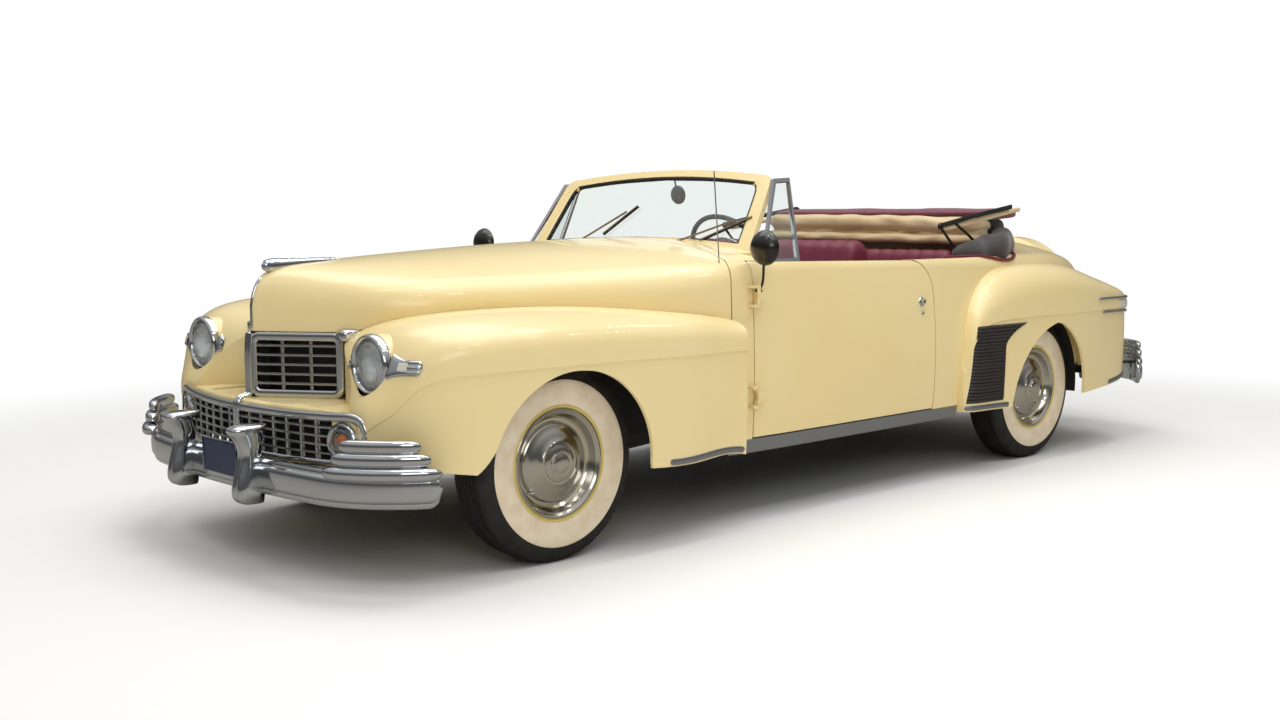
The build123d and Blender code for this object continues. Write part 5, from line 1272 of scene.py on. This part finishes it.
class TOURING_OT_stage(bpy.types.Operator):
    """Floor, lights and the camera of the photograph."""

    bl_idname = "touring.stage"
    bl_label = "Stage"

    CAMERA = (3264.0, 4682.0, 1260.0)
    HEADING, PITCH, ROLL = -133.61, -5.89, -0.3
    LENS = 39.71

    def execute(self, context):
        scene = context.scene
        scene.view_settings.view_transform = "Standard"
        self.camera(scene)
        self.floor(scene)
        self.lights(scene)
        self.world(scene)
        return {"FINISHED"}

    def camera(self, scene):
        data = bpy.data.cameras.new("photo camera")
        data.lens, data.sensor_width = self.LENS, 36.0
        camera = bpy.data.objects.new("photo camera", data)
        heading, pitch, roll = np.radians([self.HEADING, self.PITCH, self.ROLL])
        forward = Vector((np.cos(pitch) * np.cos(heading), np.cos(pitch) * np.sin(heading), np.sin(pitch)))
        right = Vector((np.sin(heading), -np.cos(heading), 0.0))
        up = right.cross(forward)
        turned_right = right * float(np.cos(roll)) + up * float(np.sin(roll))
        turned_up = turned_right.cross(forward)
        turn = Matrix((turned_right, turned_up, -forward)).transposed().to_4x4()
        place = (Vector(self.CAMERA) + Vector((AXLE_X, 0, 0))) / 1000.0
        camera.matrix_world = Matrix.Translation(place) @ turn
        scene.collection.objects.link(camera)
        scene.camera = camera

    def floor(self, scene):
        mesh = bpy.data.meshes.new("studio floor")
        reach, low = 40.0, min(0.0, CAD_BOUNDS[0].z)
        mesh.from_pydata([(-reach, -reach, low), (reach, -reach, low), (reach, reach, low),
            (-reach, reach, low)], [], [(0, 1, 2, 3)])
        floor = bpy.data.objects.new("studio floor", mesh)
        scene.collection.objects.link(floor)
        # Matt painted studio floor that fades to the white backdrop away from the car.
        tree, shader = new_material("studio paint", linear("#F4F3F1"), 0.9, Specular_IOR_Level=0.1)
        place = add_node(tree, "ShaderNodeTexCoord").outputs["Object"]
        distance = add_node(tree, "ShaderNodeVectorMath", {"operation": "LENGTH"}, {0: place})
        fade = add_node(tree, "ShaderNodeMapRange", {"interpolation_type": "SMOOTHSTEP"},
            {"Value": distance.outputs["Value"], "From Min": 3.2, "From Max": 6.0})
        path = add_node(tree, "ShaderNodeLightPath")
        seen = add_node(tree, "ShaderNodeMath", {"operation": "ADD", "use_clamp": True},
            {0: path.outputs["Is Camera Ray"], 1: path.outputs["Is Transmission Ray"]})
        # Painted reflection: glossy rays see the floor in a darker grey, #A8A49C, so bright metal mirrors a
        # darker hall floor than the camera sees.
        tint = tree.nodes.new("ShaderNodeMix")
        tint.data_type = "RGBA"
        tree.links.new(path.outputs["Is Glossy Ray"], tint.inputs[0])
        tint.inputs[6].default_value = linear("#F4F3F1")
        tint.inputs[7].default_value = linear("#A8A49C")
        tree.links.new(tint.outputs[2], shader.inputs["Base Color"])
        amount = add_node(tree, "ShaderNodeMath", {"operation": "MULTIPLY"},
            {0: fade.outputs["Result"], 1: seen.outputs[0]})
        white = add_node(tree, "ShaderNodeEmission", None, {"Color": (1, 1, 1, 1), "Strength": 1.0})
        mix = add_node(tree, "ShaderNodeMixShader", None,
            {0: amount.outputs[0], 1: shader.outputs[0], 2: white.outputs[0]})
        output = next(n for n in tree.nodes if n.type == "OUTPUT_MATERIAL")
        tree.links.new(mix.outputs[0], output.inputs["Surface"])
        mesh.materials.append(MATERIALS["studio paint"])

    def lights(self, scene):
        """A broad soft roof light, and rows of small ceiling lights that draw streaks on the paint."""
        self.area(scene, "roof light", (0.5, 0.0, 7.0), (0.0, 0.0, 0.0), (9.0, 6.0), 330.0)
        self.area(scene, "side light", (5.5, 6.5, 3.4), (0.3, 0.0, 0.6), (4.0, 2.4), 70.0)
        spots = [(3.4, 3.6), (1.6, 3.6), (-0.4, 3.6), (-2.4, 3.6), (3.4, 1.2), (1.6, 1.2), (-0.4, 1.2),
            (-2.4, 1.2)]
        for number, (x, y) in enumerate(spots):
            self.area(scene, f"ceiling lamp {number + 1}", (x, y, 4.6), (x, y, 0.0), (0.7, 0.1), 9.0)

    def area(self, scene, name, place, target, size, power):
        data = bpy.data.lights.new(name, "AREA")
        data.shape, data.size, data.size_y, data.energy = "RECTANGLE", size[0], size[1], power
        light = bpy.data.objects.new(name, data)
        light.location = place
        aim = Vector(target) - Vector(place)
        light.rotation_euler = aim.to_track_quat("-Z", "Y").to_euler()
        scene.collection.objects.link(light)

    def world(self, scene):
        """White to the camera and glass; for the rest a grey light, brighter towards the roof."""
        world = bpy.data.worlds.new("studio air")
        world.use_nodes = True
        tree = world.node_tree
        back = next(n for n in tree.nodes if n.type == "BACKGROUND")
        path = add_node(tree, "ShaderNodeLightPath")
        seen = add_node(tree, "ShaderNodeMath", {"operation": "ADD", "use_clamp": True},
            {0: path.outputs["Is Camera Ray"], 1: path.outputs["Is Transmission Ray"]})
        direction = add_node(tree, "ShaderNodeTexCoord").outputs["Generated"]
        height = add_node(tree, "ShaderNodeSeparateXYZ", None, {0: direction}).outputs["Z"]
        # Darker hall walls above the horizon and a pale roof, which bright metal mirrors.
        level = add_node(tree, "ShaderNodeMapRange", {"interpolation_type": "SMOOTHSTEP"},
            {"Value": height, "From Min": 0.06, "From Max": 0.75, "To Min": 0.1, "To Max": 0.6})
        rest = add_node(tree, "ShaderNodeMath", {"operation": "MAXIMUM"},
            {0: level.outputs["Result"], 1: seen.outputs[0]})
        tree.links.new(rest.outputs[0], back.inputs["Strength"])
        back.inputs["Color"].default_value = (1.0, 1.0, 1.0, 1.0)
        scene.world = world


class TOURING_PT_panel(bpy.types.Panel):
    """Lists the car's pieces."""

    bl_idname = "TOURING_PT_panel"
    bl_label = "Touring Car"
    bl_space_type = "VIEW_3D"
    bl_region_type = "UI"
    bl_category = "Touring Car"

    def draw(self, context):
        for group in (context.scene.touring_colours, context.scene.touring_sizes):
            for key in group.__annotations__:
                self.layout.prop(group, key)
        for operator in OPERATORS:
            self.layout.operator(operator.bl_idname)


OPERATORS = (
    TOURING_OT_finishes,
    TOURING_OT_tyres,
    TOURING_OT_wheel_trim,
    TOURING_OT_bumpers,
    TOURING_OT_lamps,
    TOURING_OT_grille,
    TOURING_OT_side_trim,
    TOURING_OT_door_fittings,
    TOURING_OT_windshield,
    TOURING_OT_seats,
    TOURING_OT_folded_top,
    TOURING_OT_brightwork,
    TOURING_OT_stage,
)
CLASSES = (TouringColours, TouringSizes, *OPERATORS, TOURING_PT_panel)


def register():
    for item in CLASSES:
        bpy.utils.register_class(item)
    bpy.types.Scene.touring_colours = PointerProperty(type=TouringColours)
    bpy.types.Scene.touring_sizes = PointerProperty(type=TouringSizes)


def unregister():
    del bpy.types.Scene.touring_sizes
    del bpy.types.Scene.touring_colours
    for item in reversed(CLASSES):
        bpy.utils.unregister_class(item)


def main():
    register()
    for operator in OPERATORS:
        group, name = operator.bl_idname.split(".")
        getattr(getattr(bpy.ops, group), name)()


if __name__ == "__main__":
    main()
